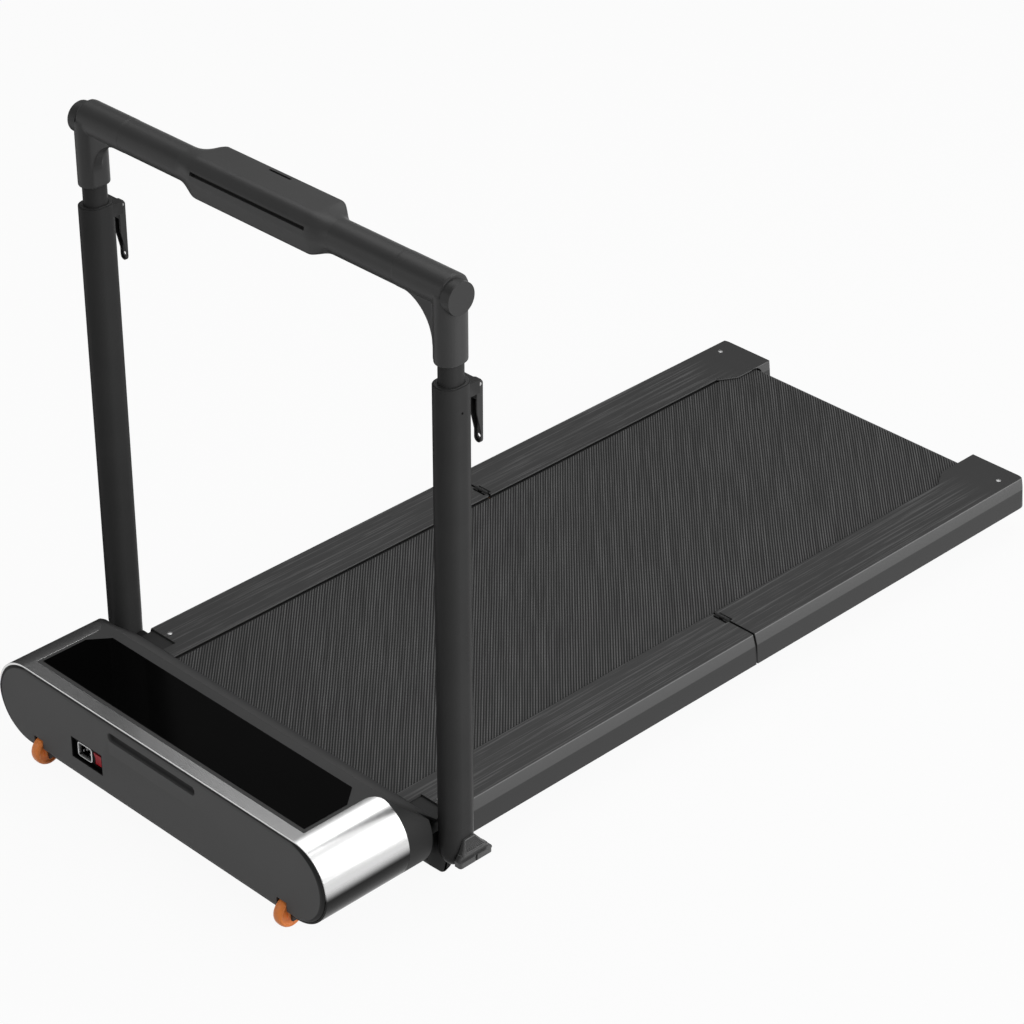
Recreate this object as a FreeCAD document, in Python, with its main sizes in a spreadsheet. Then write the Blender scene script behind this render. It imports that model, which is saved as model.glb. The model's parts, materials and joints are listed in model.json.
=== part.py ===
import FreeCAD, Part
import math
import os
import re
import Sketcher

# A folding walking pad with an upright handrail, in millimetres.
# X runs across the pad, Y from the motor end to the rear end, and Z up from the floor.
# The origin is on the floor under the middle of the pad. Right means +X.

V = FreeCAD.Vector
doc = FreeCAD.newDocument("walking_pad")

SIZES = {
    # clearances
    "overrun": 6,
    "running_gap": 0.3,
    "pin_play": 0.05,
    # side rails: section across the pad
    "rail_top": 87,
    "rail_inner": 225,
    "rail_outer": 301,
    "band_outer": 306.7,
    "band_bottom": 70.3,
    "skirt_outer": 310,
    "skirt_bottom": 41,
    "rail_wall": 3,
    "rail_edge_round": 1.5,
    # side rails: ends along the pad
    "front_rail_start": -471,
    "lip_start": -494,
    "lip_outer": 248,
    "hinge_y": 115.6,
    "hinge_slit": 3,
    "rear_end": 724.5,
    "rear_draft": 5.5,
    "end_wall": 29,
    "end_round": 18,
    "ear_inner": 206,
    "ear_length": 112.5,
    "ear_taper": 33,
    "ear_round": 14,
    "arch_gap": 3,
    # belt, rollers and deck
    "belt_half": 221,
    "belt_thick": 1.6,
    "belt_drop": 4,
    "belt_inner": 17,
    "roller_half": 223,
    "idler_inset": 42.5,
    "drive_y": -545,
    "deck_half": 262,
    "deck_thick": 18,
    "deck_end_gap": 12,
    # steel frame
    "tube_inner": 250,
    "tube_outer": 290,
    "tube_height": 20,
    "tube_wall": 2,
    "front_tube_start": -518,
    "tube_end_gap": 4,
    "rear_tube_inset": 74.5,
    "member_width": 30,
    "member_height": 12,
    "front_member_first": -440,
    "front_member_second": -170,
    "front_member_third": 80,
    "rear_member_first": 170,
    "rear_member_second": 400,
    "rear_member_inset": 114.5,
    # feet
    "foot_x": 236,
    "foot_radius": 12,
    "foot_tip_radius": 9,
    "tray_foot_x": 200,
    "tray_foot_y": -620,
    "tray_foot_radius": 16,
    # fold hinge
    "hinge_rise": 0.6,
    "knuckle_radius": 2.6,
    "knuckle_length": 8,
    "hinge_pin_radius": 1.4,
    "hinge_x": 230,
    "leaf_thick": 2.4,
    "leaf_reach": 36,
    "riser_thick": 3,
    "notch_reach": 6,
    "notch_side": 0.5,
    # motor housing
    "house_radius": 61.5,
    "house_z": 89.5,
    "house_front": -711,
    "house_rear": -569.5,
    "shell_wall": 3,
    "seam_z": 115,
    "plate_face": -714.3,
    "plate_thick": 6,
    "plate_round": 4,
    # display
    "bezel_frame": 6.2,
    "bezel_lip": 6.1,
    "glass_half": 262.8,
    "glass_front": -684.9,
    "glass_rear": -583.2,
    "glass_chamfer_x": 22.6,
    "glass_chamfer_y": 29,
    "glass_proud": 1,
    "glass_thick": 3,
    "glass_ledge": 5,
    "bezel_thick": 8,
    "silver_corner": 20,
    "silver_margin": 1,
    "display_board_half": 150,
    "display_board_depth": 60,
    "board_thick": 2,
    # shoulder
    "shoulder_foot": -495.5,
    "shoulder_foot_z": 88,
    "slope_wall": 3.6,
    "shoulder_side_end": -530,
    "shoulder_half": 302,
    "ledge_end": -455,
    "ledge_link": 3,
    # grip scoop in the front plate
    "grip_left": -92,
    "grip_right": 84,
    "grip_ledge": 136,
    "grip_low": 100,
    "grip_depth": 10,
    "grip_round": 4,
    "grip_pan": 14,
    "grip_wall": 4,
    # mains inlet and switch
    "inlet_left": -173,
    "inlet_right": -109,
    "inlet_low": 56,
    "inlet_high": 88.5,
    "inlet_sunk": 5,
    "inlet_depth": 28,
    "socket_left": -164,
    "socket_right": -135,
    "socket_low": 61,
    "socket_high": 83,
    "socket_depth": 20,
    "switch_left": -130,
    "switch_right": -113,
    "switch_set": 6.3,
    "switch_z": 72,
    "switch_half": 9.5,
    "switch_reach": 8.5,
    "switch_dip": 2.5,
    "switch_room": 1.9,
    "switch_back": 3,
    # transport wheels
    "wheel_x": 247.5,
    "wheel_y": -702.5,
    "wheel_z": 24.5,
    "wheel_radius": 22,
    "wheel_half": 8,
    "wheel_hub_half": 9.2,
    "wheel_hub_radius": 9,
    "wheel_round": 5,
    "axle_radius": 4,
    "wheel_room": 0.8,
    "wheel_bay_half": 9.5,
    "wheel_bay_wall": 3.5,
    "wheel_fork_low": 16,
    "wheel_fork_reach": 9,
    # drive
    "roller_plate_thick": 6,
    "roller_plate_front": -598,
    "roller_plate_rise": 26,
    "roller_plate_shelf": -522,
    "roller_plate_rear": -460,
    "shaft_radius": 8,
    "shaft_over": 1,
    "bearing_radius": 14,
    "pulley_radius": 25,
    "pulley_width": 14,
    "pulley_gap": 2,
    "motor_y": -640,
    "motor_z": 88,
    "motor_radius": 38,
    "motor_length": 152,
    "motor_gap": 6,
    "motor_pulley_radius": 10,
    "motor_shaft_radius": 5,
    "motor_shaft_depth": 20,
    "motor_foot_half": 25,
    "motor_foot_margin": 22,
    "drive_belt_gap": 0.3,
    "drive_belt_thick": 2.5,
    "drive_belt_margin": 1.5,
    # control board
    "control_left": -215,
    "control_right": -75,
    "control_front": -690,
    "control_rear": -600,
    "standoff": 6,
    "standoff_radius": 3,
    "standoff_inset": 8,
    "capacitor_radius": 9,
    "capacitor_height": 12,
    # idler end
    "idler_plate_reach": 52,
    "idler_plate_tail": 6.5,
    "idler_plate_rise": 12,
    "idler_shelf_reach": 24,
    "idler_axle_radius": 5,
    "idler_wall": 3,
    "tension_radius": 3,
    "tension_head_radius": 5,
    "tension_head": 4,
    "tension_head_inset": 13.5,
    # handrail posts
    "post_x": 333,
    "post_y": -490.5,
    "post_radius": 19,
    "post_flat": 5.6,
    "post_wall": 2,
    "post_drop": 121,
    "post_start": 100,
    "post_pin_hole": 1.6,
    "post_pin_hole_drop": 35,
    "pivot_z": 62,
    "pivot_radius": 8,
    "bracket_fore": 31.5,
    "bracket_aft": 16.5,
    "bracket_low": 9,
    "bracket_top": 80,
    "bracket_nose": 30,
    "bracket_round": 6,
    "foot_round": 26,
    "foot_spigot": 50,
    # lock knob
    "knob_hub_radius": 13,
    "knob_hub": 9,
    "knob_stud": 6.5,
    "knob_fan": 5,
    "knob_fan_fore": 15,
    "knob_fan_aft": 29.5,
    "knob_crest_fore": 5.5,
    "knob_crest_aft": 12.5,
    "knob_fan_foot": 0.4,
    "knob_fan_rise": 21,
    "knob_fan_round": 3,
    "knob_plate_depth": 10.7,
    "knob_plate_thick": 8,
    "knob_plate_spread": 5.5,
    "knob_plate_fall": 7.4,
    # quick clamp
    "lever_shift": 2,
    "lever_set": 39.5,
    "lever_drop": 15,
    "lever_length": 83,
    "lever_head": 5.5,
    "lever_head_round": 5,
    "lever_tip_round": 5.8,
    "lever_half": 6.2,
    "lever_fork_half": 4.2,
    "lever_fork": 15,
    "lever_channel_half": 4.4,
    "lever_channel_rise": 24,
    "lever_back": 1.5,
    "lever_hole": 3,
    "lever_hole_rise": 12,
    "clamp_pin_radius": 2.5,
    "lug_half": 3.9,
    "clamp_lug_half": 6,
    "clamp_lug_round": 5,
    "collar_half": 17,
    "collar_reach": 31,
    "collar_drop": 20,
    "collar_rim": 2,
    # telescopic handle
    "inner_radius": 13.3,
    "inner_flat": 3.9,
    "inner_wall": 2,
    "inner_overlap": 302,
    "bush_height": 20,
    "bush_rim": 1,
    "socket_radius": 17,
    "socket_flat": 5,
    "socket_drop": 92,
    "socket_seat": 22,
    "bar_set": 3,
    "bar_z": 863,
    "bar_radius": 23,
    "bar_wall": 2,
    "bar_half": 300,
    "elbow_end": 338,
    "gusset_radius": 58,
    "gusset_drop": 15,
    "gusset_set": 17.5,
    "cap_radius": 21.5,
    "cap_thick": 14,
    "cap_offset": 3,
    # console
    "console_half": 104,
    "console_flare": 36,
    "console_front": 28,
    "console_chin": 22,
    "console_low": 29,
    "console_top": 25,
    "console_rear": 38,
    "console_rear_low": 18,
    "flare_radius": 24,
    "slot_half": 106,
    "slot_z": 8,
    "slot_height": 4.8,
    "slot_depth": 5,
    "key_slot_half": 20,
    "key_slot_y": 29,
    "key_slot_width": 3.5,
    "key_slot_depth": 3,
    "panel_half": 72,
    "panel_low": 13,
    "panel_high": 17,
    "panel_thick": 3,
    "cavity_margin": 5,
    "cavity_front": 24.5,
    "button_radius": 7.7,
    "button_pitch": 30,
    "button_proud": 1.5,
    "button_flange": 1.3,
    "button_flange_thick": 2,
    "button_back": 27.4,
    # screws
    "screw_head_radius": 4,
    "screw_head": 0.9,
    "screw_radius": 2,
    "screw_length": 6,
    "front_screw_x": 272.5,
    "front_screw_y": -461.3,
    "rear_screw_x": 281,
    "rear_screw_inset": 38.5,
}

PLACES = {
    "ear_start": "rear_end - ear_length",
    "ear_full": "ear_start + ear_taper",
    "idler_y": "rear_end - idler_inset",
    "rear_tube_end": "rear_end - rear_tube_inset",
    "rear_member_third": "rear_end - rear_member_inset",
    "idler_plate_front": "idler_y - idler_plate_reach",
    "idler_plate_rear": "idler_y + idler_plate_tail",
    "idler_plate_shelf": "idler_y - idler_shelf_reach",
    "tension_head_y": "rear_end - tension_head_inset",
    "rear_screw_y": "rear_end - rear_screw_inset",
    "ledge_outer": "rail_outer - rail_wall - running_gap",
    "belt_top": "rail_top - belt_drop",
    "deck_top": "belt_top - belt_thick",
    "deck_bottom": "deck_top - deck_thick",
    "roller_radius": "belt_inner - running_gap",
    "roller_z": "deck_top - belt_inner",
    "belt_outer": "belt_inner + belt_thick",
    "belt_low": "roller_z - belt_outer",
    "front_end": "hinge_y - hinge_slit / 2",
    "rear_start": "hinge_y + hinge_slit / 2",
    "hinge_z": "rail_top + hinge_rise",
    "rail_under": "rail_top - rail_wall",
    "leaf_width": "3 * knuckle_length + 2 * running_gap",
    "tube_low": "deck_bottom - tube_height",
    "member_low": "deck_bottom - member_height",
    "bezel_half": "glass_half + bezel_frame",
    "bezel_front": "glass_front - bezel_lip",
    "house_flat": "bezel_half + silver_margin",
    "house_top": "house_z + house_radius",
    "house_low": "house_z - house_radius",
    "floor_top": "house_low + shell_wall",
    "slope_rate": "(house_top - shoulder_foot_z) / (shoulder_foot - house_rear)",
    "house_side": "house_flat + house_radius + overrun",
    "glass_top": "house_top + glass_proud",
    "glass_low": "glass_top - glass_thick",
    "plate_back": "plate_face + plate_thick",
    "inlet_face": "plate_face + inlet_sunk",
    "switch_y": "inlet_face + switch_set",
    "wheel_bay_high": "wheel_z + wheel_radius + wheel_room",
    "wheel_bay_rear": "wheel_y + wheel_radius + wheel_room",
    "roller_plate_in": "tube_inner - roller_plate_thick",
    "pulley_right": "roller_plate_in - pulley_gap",
    "pulley_left": "pulley_right - pulley_width",
    "motor_right": "pulley_left - motor_gap",
    "motor_left": "motor_right - motor_length",
    "control_low": "floor_top + standoff",
    "post_inside": "post_x - post_radius",
    "post_outside": "post_x + post_radius",
    "post_rear": "post_y + post_flat + post_radius",
    "post_top": "bar_z - post_drop",
    "post_pin_hole_z": "post_top - post_pin_hole_drop",
    "bracket_front": "post_y - bracket_fore",
    "bracket_rear": "post_y + bracket_aft",
    "bracket_outside": "post_inside - running_gap",
    "knob_inside": "post_outside + running_gap",
    "knob_outside": "knob_inside + knob_plate_depth",
    "knob_stud_end": "knob_inside + knob_stud",
    "knob_fan_front": "post_y - knob_fan_fore",
    "knob_fan_rear": "post_y + knob_fan_aft",
    "knob_crest_front": "post_y - knob_crest_fore",
    "knob_crest_rear": "post_y + knob_crest_aft",
    "knob_fan_low": "pivot_z + knob_fan_foot",
    "knob_fan_high": "pivot_z + knob_fan_rise",
    "lever_x": "post_x + lever_shift",
    "lever_y": "post_y + lever_set",
    "lever_z": "post_top - lever_drop",
    "lever_low": "lever_z - lever_length",
    "lever_fork_low": "lever_z - lever_fork",
    "lever_channel_low": "lever_low + lever_channel_rise",
    "lever_hole_z": "lever_low + lever_hole_rise",
    "clamp_lug_low": "lever_z - clamp_lug_half",
    "clamp_lug_high": "lever_z + clamp_lug_half",
    "collar_rear": "post_y + collar_reach",
    "collar_low": "post_top - collar_drop",
    "collar_high": "post_top - collar_rim",
    "inner_bottom": "post_top - inner_overlap",
    "socket_bottom": "bar_z - socket_drop",
    "bar_y": "post_y + bar_set",
    "gusset_front": "bar_y - gusset_set",
    "gusset_x": "post_x - socket_radius - gusset_radius",
    "gusset_z": "bar_z - gusset_drop - gusset_radius",
    "console_back": "bar_y + console_rear",
    "panel_front": "console_back - panel_thick",
}

NAME = re.compile(r"[a-z][a-z_]*")


def ref(rule, own_sheet=False):
    """The rule with each size and place written as its cell."""

    def cell(match):
        word = match.group()
        if word in SIZES:
            return "Sizes." + word
        if word in PLACES and not own_sheet:
            return "Places." + word
        return word

    return NAME.sub(cell, str(rule))


def fill(name, cells):
    """A sheet with one named cell in each row."""
    sheet = doc.addObject("Spreadsheet::Sheet", name)
    for row, (alias, content) in enumerate(cells.items(), 1):
        sheet.set(f"A{row}", alias)
        sheet.set(f"B{row}", content)
        sheet.setAlias(f"B{row}", alias)
    doc.recompute()
    return sheet


sizes = fill("Sizes", {name: str(size) for name, size in SIZES.items()})
places = fill("Places", {name: "=" + ref(rule, own_sheet=True) for name, rule in PLACES.items()})


def value(name):
    """The number in a cell."""
    return float(getattr(sizes if name in SIZES else places, name))


def across(half):
    """A span that is even about zero."""
    return f"-({half})", half


def about(middle, half):
    """A span that is even about its middle."""
    return f"({middle}) - ({half})", f"({middle}) + ({half})"


def box(name, x, y, z):
    """A block between two planes along each axis."""
    block = doc.addObject("Part::Box", name)
    for side, axis, span in (("Length", "x", x), ("Width", "y", y), ("Height", "z", z)):
        block.setExpression(side, ref(f"({span[1]}) - ({span[0]})"))
        block.setExpression("Placement.Base." + axis, ref(span[0]))
    return block


TURNS = {
    "x": FreeCAD.Rotation(V(0, 1, 0), 90),
    "y": FreeCAD.Rotation(V(1, 0, 0), -90),
    "z": FreeCAD.Rotation(),
}


def rod(name, run, span, radius, **middle):
    """A round bar along one axis, with its middle given on the other two."""
    bar = doc.addObject("Part::Cylinder", name)
    bar.Placement = FreeCAD.Placement(V(), TURNS[run])
    bar.setExpression("Radius", ref(radius))
    bar.setExpression("Height", ref(f"({span[1]}) - ({span[0]})"))
    bar.setExpression("Placement.Base." + run, ref(span[0]))
    for axis, rule in middle.items():
        bar.setExpression("Placement.Base." + axis, ref(rule))
    return bar


def taper(name, span, low_radius, high_radius, x, y):
    """An upright round foot that narrows to its tip."""
    cone = doc.addObject("Part::Cone", name)
    cone.setExpression("Radius1", ref(low_radius))
    cone.setExpression("Radius2", ref(high_radius))
    cone.setExpression("Height", ref(f"({span[1]}) - ({span[0]})"))
    for axis, rule in (("x", x), ("y", y), ("z", span[0])):
        cone.setExpression("Placement.Base." + axis, ref(rule))
    return cone


def fuse(name, *shapes):
    """Solids joined into one."""
    joined = doc.addObject("Part::MultiFuse", name)
    joined.Shapes = list(shapes)
    joined.Refine = True
    return joined


def group(name, *shapes):
    """Separate solids kept together."""
    kept = doc.addObject("Part::Compound", name)
    kept.Links = list(shapes)
    return kept


def cut(name, base, *tools):
    """A solid less the tools."""
    result = doc.addObject("Part::Cut", name)
    result.Base = base
    result.Tool = tools[0] if len(tools) == 1 else group(name + "_tools", *tools)
    return result


def common(name, first, second):
    """What two solids share."""
    result = doc.addObject("Part::Common", name)
    result.Base = first
    result.Tool = second
    return result


def mirror(name, source):
    """The same solid on the other side of the pad."""
    image = doc.addObject("Part::Mirroring", name)
    image.Source = source
    image.Normal = V(1, 0, 0)
    return image


def both(name, source):
    """A solid on the right and its mirror image on the left, as one group."""
    return group(name, source, mirror(name + "_mirrored", source))


def oblong(name, run, span, flat, half_flat, radius, **middle):
    """A bar along one axis with two flat sides and two half round ones."""
    other = next(axis for axis in "xyz" if axis not in (run, flat))
    sides = {run: span, flat: about(middle[flat], half_flat), other: about(middle[other], radius)}
    pieces = [box(name + "_flat", sides["x"], sides["y"], sides["z"])]
    for place, end in zip(("low", "high"), sides[flat]):
        centre = {flat: end, other: middle[other]}
        pieces.append(rod(f"{name}_{place}_round", run, span, radius, **centre))
    return fuse(name, *pieces)


def draw(sketch, points):
    """A closed outline through the points, where a third item rounds a corner."""
    count = len(points)
    ring = []
    for corner in range(count):
        turn = 2 * math.pi * corner / count
        ring.append(V(math.cos(turn), math.sin(turn), 0))
    for corner in range(count):
        sketch.addGeometry(Part.LineSegment(ring[corner], ring[(corner + 1) % count]))
    for corner in range(count):
        sketch.addConstraint(Sketcher.Constraint("Coincident", corner, 2, (corner + 1) % count, 1))
    for corner, point in enumerate(points):
        for kind, rule, guess in zip(("DistanceX", "DistanceY"), point, ring[corner]):
            mark = sketch.addConstraint(Sketcher.Constraint(kind, -1, 1, corner, 1, guess))
            sketch.renameConstraint(mark, f"{kind}{corner}")
            sketch.setExpression(f"Constraints.{kind}{corner}", ref(rule))
    doc.recompute()
    for corner, point in enumerate(points):
        if len(point) == 3:
            sketch.fillet(corner, 1, value(point[2]), True, True)
            arc = max(n for n, line in enumerate(sketch.Geometry) if isinstance(line, Part.ArcOfCircle))
            mark = sketch.addConstraint(Sketcher.Constraint("Radius", arc, value(point[2])))
            sketch.renameConstraint(mark, f"Round{corner}")
            sketch.setExpression(f"Constraints.Round{corner}", ref(point[2]))


PLANES = {"x": "YZ_Plane", "y": "XZ_Plane", "z": "XY_Plane"}


def prism(name, run, span, points):
    """An outline carried along one axis; its points are on the other two axes, in X, Y, Z order."""
    body = doc.addObject("PartDesign::Body", name)
    sketch = body.newObject("Sketcher::SketchObject", name + "_outline")
    plane = next(item for item in body.Origin.OriginFeatures if item.Role == PLANES[run])
    sketch.AttachmentSupport = [(plane, "")]
    sketch.MapMode = "FlatFace"
    draw(sketch, points)
    pad = body.newObject("PartDesign::Pad", name + "_pad")
    pad.Profile = sketch
    pad.setExpression("Length", ref(f"({span[1]}) - ({span[0]})"))
    # an outline on the XZ plane grows towards -Y, so it starts from the far end
    body.setExpression("Placement.Base." + run, ref(span[1] if run == "y" else span[0]))
    return body


def section(name, x, points):
    """An outline across the pad's width, at a place along X."""
    sketch = doc.addObject("Sketcher::SketchObject", name)
    sketch.Placement = FreeCAD.Placement(V(), FreeCAD.Rotation(V(0, 1, 0), V(0, 0, 1), V(1, 0, 0), "ZXY"))
    sketch.setExpression("Placement.Base.x", ref(x))
    draw(sketch, points)
    return sketch


def loft(name, *sections):
    """A solid with straight sides between two sections."""
    solid = doc.addObject("Part::Loft", name)
    solid.Sections = list(sections)
    solid.Solid = True
    solid.Ruled = True
    return solid


def soften(name, source, radius, chosen):
    """A solid with the chosen edges rounded."""
    doc.recompute()
    result = doc.addObject("Part::Fillet", name)
    result.Base = source
    size = value(radius)
    result.Edges = [(n, size, size) for n, edge in enumerate(source.Shape.Edges, 1) if chosen(edge)]
    return result


def lies_at(axis, place):
    """A test for edges that lie wholly in one plane across an axis."""
    level = value(place)

    def test(edge):
        return all(math.isclose(getattr(corner.Point, axis), level) for corner in edge.Vertexes)

    return test


NODES = []


def node(shape):
    """Marks a finished piece, which is saved under its own name."""
    NODES.append(shape)
    return shape


# motor housing: a silver upper cover and lower tray with a dark plate at the front

def house(name, y, shrink="0"):
    """A length of the housing's outline, drawn in by shrink."""
    return oblong(name, "y", y, "x", "house_flat", f"house_radius - ({shrink})", x="0", z="house_z")


def bezel_outline(shrink):
    """The opening in the upper cover: straight at the front, flared with a round at the rear corners."""
    side = f"bezel_half - ({shrink})"
    front = f"bezel_front + ({shrink})"
    flare = f"bezel_half + silver_corner + overrun - ({shrink})"
    back = f"house_rear + overrun - ({shrink})"
    right = [(side, front), (side, "house_rear", "silver_corner"), (flare, "house_rear"), (flare, back)]
    left = [(f"-({point[0]})", *point[1:]) for point in reversed(right)]
    return right + left


past_house = ("house_front - overrun", "house_rear + overrun")
house_ring = cut("house_ring", house("house_outside", ("house_front", "house_rear")),
                 house("house_inside", past_house, "shell_wall"))
below_seam = box("below_seam", across("house_side"), past_house, ("house_low - overrun", "seam_z"))
above_seam = box("above_seam", across("house_side"), past_house, ("seam_z", "house_top + overrun"))
bezel_opening = prism("bezel_opening", "z", ("house_z", "house_top + overrun"), bezel_outline("0"))
node(cut("upper_cover", house_ring, below_seam, bezel_opening))

bay_outside = about("wheel_x", "wheel_bay_half + wheel_bay_wall")
bay_rear = "wheel_bay_rear + wheel_bay_wall"
bay_hole = box("bay_hole", about("wheel_x", "wheel_bay_half + wheel_bay_wall + running_gap"),
               ("house_front - overrun", f"{bay_rear} + running_gap"),
               ("house_low - overrun", "floor_top + overrun"))
node(cut("lower_tray", house_ring, above_seam, both("bay_holes", bay_hole)))

plate_blank = house("plate_blank", ("plate_face", "plate_back"), "shell_wall + running_gap")
plate_rounded = soften("plate_rounded", plate_blank, "plate_round", lies_at("y", "plate_face"))
grip_back = box("grip_back", ("grip_left - grip_wall", "grip_right + grip_wall"),
                ("plate_back", "plate_back + grip_pan"), ("grip_low - grip_wall", "grip_ledge + grip_wall"))
grip_scoop = prism("grip_scoop", "x", ("grip_left", "grip_right"), [
    ("plate_face", "grip_low"),
    ("plate_face + grip_depth", "grip_ledge", "grip_round"),
    ("plate_face - overrun", "grip_ledge"),
    ("plate_face - overrun", "grip_low"),
])
through_plate = ("plate_face - overrun", "plate_back + overrun")
inlet_window = box("inlet_window", ("inlet_left - running_gap", "inlet_right + running_gap"), through_plate,
                   ("inlet_low - running_gap", "inlet_high + running_gap"))
wheel_notch = box("wheel_notch", about("wheel_x", "wheel_bay_half"), through_plate,
                  ("house_low - overrun", "wheel_bay_high"))
node(cut("front_plate", fuse("plate_whole", plate_rounded, grip_back), grip_scoop, inlet_window,
         both("wheel_notches", wheel_notch)))

# shoulder: the dark cover that frames the glass and slopes down to the belt

shoulder_block = house("shoulder_block", ("house_rear", "shoulder_foot"))
slope = prism("slope", "x", across("house_side"), [
    ("house_rear", "house_low - overrun"),
    ("house_rear", "house_top"),
    ("shoulder_foot", "shoulder_foot_z"),
    ("shoulder_foot", "house_low - overrun"),
])
hollow_block = house("hollow_block", ("house_rear - overrun", "shoulder_foot + overrun"), "shell_wall")
hollow_slope = prism("hollow_slope", "x", across("house_side"), [
    ("house_rear - overrun", "house_low - overrun"),
    ("house_rear - overrun", "house_top + slope_rate * overrun - slope_wall"),
    ("shoulder_foot + overrun", "shoulder_foot_z - slope_rate * overrun - slope_wall"),
    ("shoulder_foot + overrun", "house_low - overrun"),
])
shoulder_shell = cut("shoulder_shell", common("shoulder_solid", shoulder_block, slope),
                     common("shoulder_hollow", hollow_block, hollow_slope))
bezel_plate = common("bezel_plate",
                     prism("bezel_blank", "z", ("house_top - bezel_thick", "house_top"),
                           bezel_outline("running_gap")),
                     house("bezel_limit", ("bezel_front", "house_rear + ledge_link")))
ledge = box("ledge", ("rail_inner + rail_wall", "ledge_outer"), ("shoulder_foot - ledge_link", "ledge_end"),
            ("rail_under - leaf_thick", "rail_under"))
ledge_riser = box("ledge_riser", ("rail_inner + rail_wall", "ledge_outer"),
                  ("shoulder_foot - 2 * ledge_link", "shoulder_foot - ledge_link"),
                  ("rail_under - leaf_thick", "shoulder_foot_z + slope_rate * ledge_link"))
glass_points = [
    ("-glass_half", "glass_front"),
    ("glass_half", "glass_front"),
    ("glass_half", "glass_rear - glass_chamfer_y"),
    ("glass_half - glass_chamfer_x", "glass_rear"),
    ("-glass_half + glass_chamfer_x", "glass_rear"),
    ("-glass_half", "glass_rear - glass_chamfer_y"),
]
glass_seat = prism("glass_seat", "z", ("glass_low", "glass_top + overrun"), glass_points)
glass_window = box("glass_window", across("glass_half - glass_chamfer_x - glass_ledge"),
                   ("glass_front + glass_ledge", "glass_rear - glass_ledge"),
                   ("house_top - bezel_thick - overrun", "house_top + overrun"))
beside_post = box("beside_post", ("shoulder_half", "house_side"),
                  ("shoulder_side_end", "shoulder_foot + overrun"),
                  ("house_low - overrun", "house_top + overrun"))
under_slope = box("under_slope", across("house_side"), ("shoulder_side_end", "shoulder_foot + overrun"),
                  ("house_low - overrun", "rail_under - leaf_thick"))
front_screw_hole = rod("front_screw_hole", "z", ("tube_low", "rail_top + overrun"), "screw_radius + pin_play",
                       x="front_screw_x", y="front_screw_y")
shoulder_whole = fuse("shoulder_whole", shoulder_shell, bezel_plate, ledge, ledge_riser,
                      mirror("ledge_left", ledge), mirror("ledge_riser_left", ledge_riser))
node(cut("shoulder_cover", shoulder_whole, glass_seat, glass_window, under_slope,
         both("beside_posts", beside_post), both("front_screw_holes", front_screw_hole)))

# display

node(prism("display_glass", "z", ("glass_low", "glass_top"), glass_points))
node(box("display_board", across("display_board_half"),
         about("(glass_front + glass_rear) / 2", "display_board_depth / 2"),
         ("glass_low - board_thick", "glass_low")))

# mains inlet and its rocker switch

inlet_body = box("inlet_body", ("inlet_left", "inlet_right"), ("inlet_face", "inlet_face + inlet_depth"),
                 ("inlet_low", "inlet_high"))
socket = box("socket", ("socket_left", "socket_right"), ("inlet_face - overrun", "inlet_face + socket_depth"),
             ("socket_low", "socket_high"))
switch_well = box("switch_well", ("switch_left", "switch_right"),
                  ("inlet_face - overrun", "switch_y + switch_back"),
                  about("switch_z", "switch_half + switch_room"))
node(cut("power_inlet", inlet_body, socket, switch_well))
switch_span = ("switch_left + running_gap", "switch_right - running_gap")
rocker = prism("rocker", "x", switch_span, [
    ("switch_y - switch_reach", "switch_z + switch_half"),
    ("switch_y - switch_reach + switch_dip", "switch_z"),
    ("switch_y - switch_reach + switch_dip", "switch_z - switch_half"),
    ("switch_y", "switch_z - switch_half"),
    ("switch_y", "switch_z + switch_half"),
])
rocker_pivot = rod("rocker_pivot", "x", switch_span, "switch_back / 2", y="switch_y", z="switch_z")
node(fuse("power_switch", rocker, rocker_pivot))

# transport wheels in their housings

bay_shell = box("bay_shell", bay_outside, ("plate_back + running_gap", bay_rear),
                ("house_low", "wheel_bay_high + wheel_bay_wall"))
bay_fork = box("bay_fork", bay_outside, ("plate_back + running_gap", "wheel_y + wheel_fork_reach"),
               ("wheel_fork_low", "house_low"))
bay_room = box("bay_room", about("wheel_x", "wheel_bay_half"), ("house_front - overrun", "wheel_bay_rear"),
               ("wheel_fork_low - overrun", "wheel_bay_high"))
bay_walls = cut("bay_walls", fuse("bay_whole", bay_shell, bay_fork), bay_room)
wheel_axle = rod("wheel_axle", "x", bay_outside, "axle_radius", y="wheel_y", z="wheel_z")
node(both("wheel_housings", fuse("wheel_housing", bay_walls, wheel_axle)))

tyre_blank = rod("tyre_blank", "x", about("wheel_x", "wheel_half"), "wheel_radius", y="wheel_y", z="wheel_z")
tyre = soften("tyre", tyre_blank, "wheel_round", lambda edge: len(edge.Vertexes) == 1)
wheel_hub = rod("wheel_hub", "x", about("wheel_x", "wheel_hub_half"), "wheel_hub_radius", y="wheel_y",
                z="wheel_z")
wheel_bore = rod("wheel_bore", "x", about("wheel_x", "wheel_hub_half + overrun"), "axle_radius + pin_play",
                 y="wheel_y", z="wheel_z")
wheel_right = node(cut("wheel_right", fuse("wheel_whole", tyre, wheel_hub), wheel_bore))
node(mirror("wheel_left", wheel_right))

# side rails

rail_points = [
    ("rail_inner", "rail_top"),
    ("rail_outer", "rail_top", "rail_edge_round"),
    ("band_outer", "band_bottom"),
    ("skirt_outer", "skirt_bottom"),
    ("skirt_outer - rail_wall", "skirt_bottom"),
    ("band_outer - rail_wall", "band_bottom"),
    ("rail_outer - rail_wall", "rail_under"),
    ("rail_inner", "rail_under"),
]


def hinge_notch(name, y):
    """Room in a rail for the knuckles of the fold hinge."""
    return box(name, ("hinge_x - notch_side", "hinge_x + leaf_width + notch_side"), y,
               ("rail_under - overrun", "rail_top + overrun"))


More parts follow.
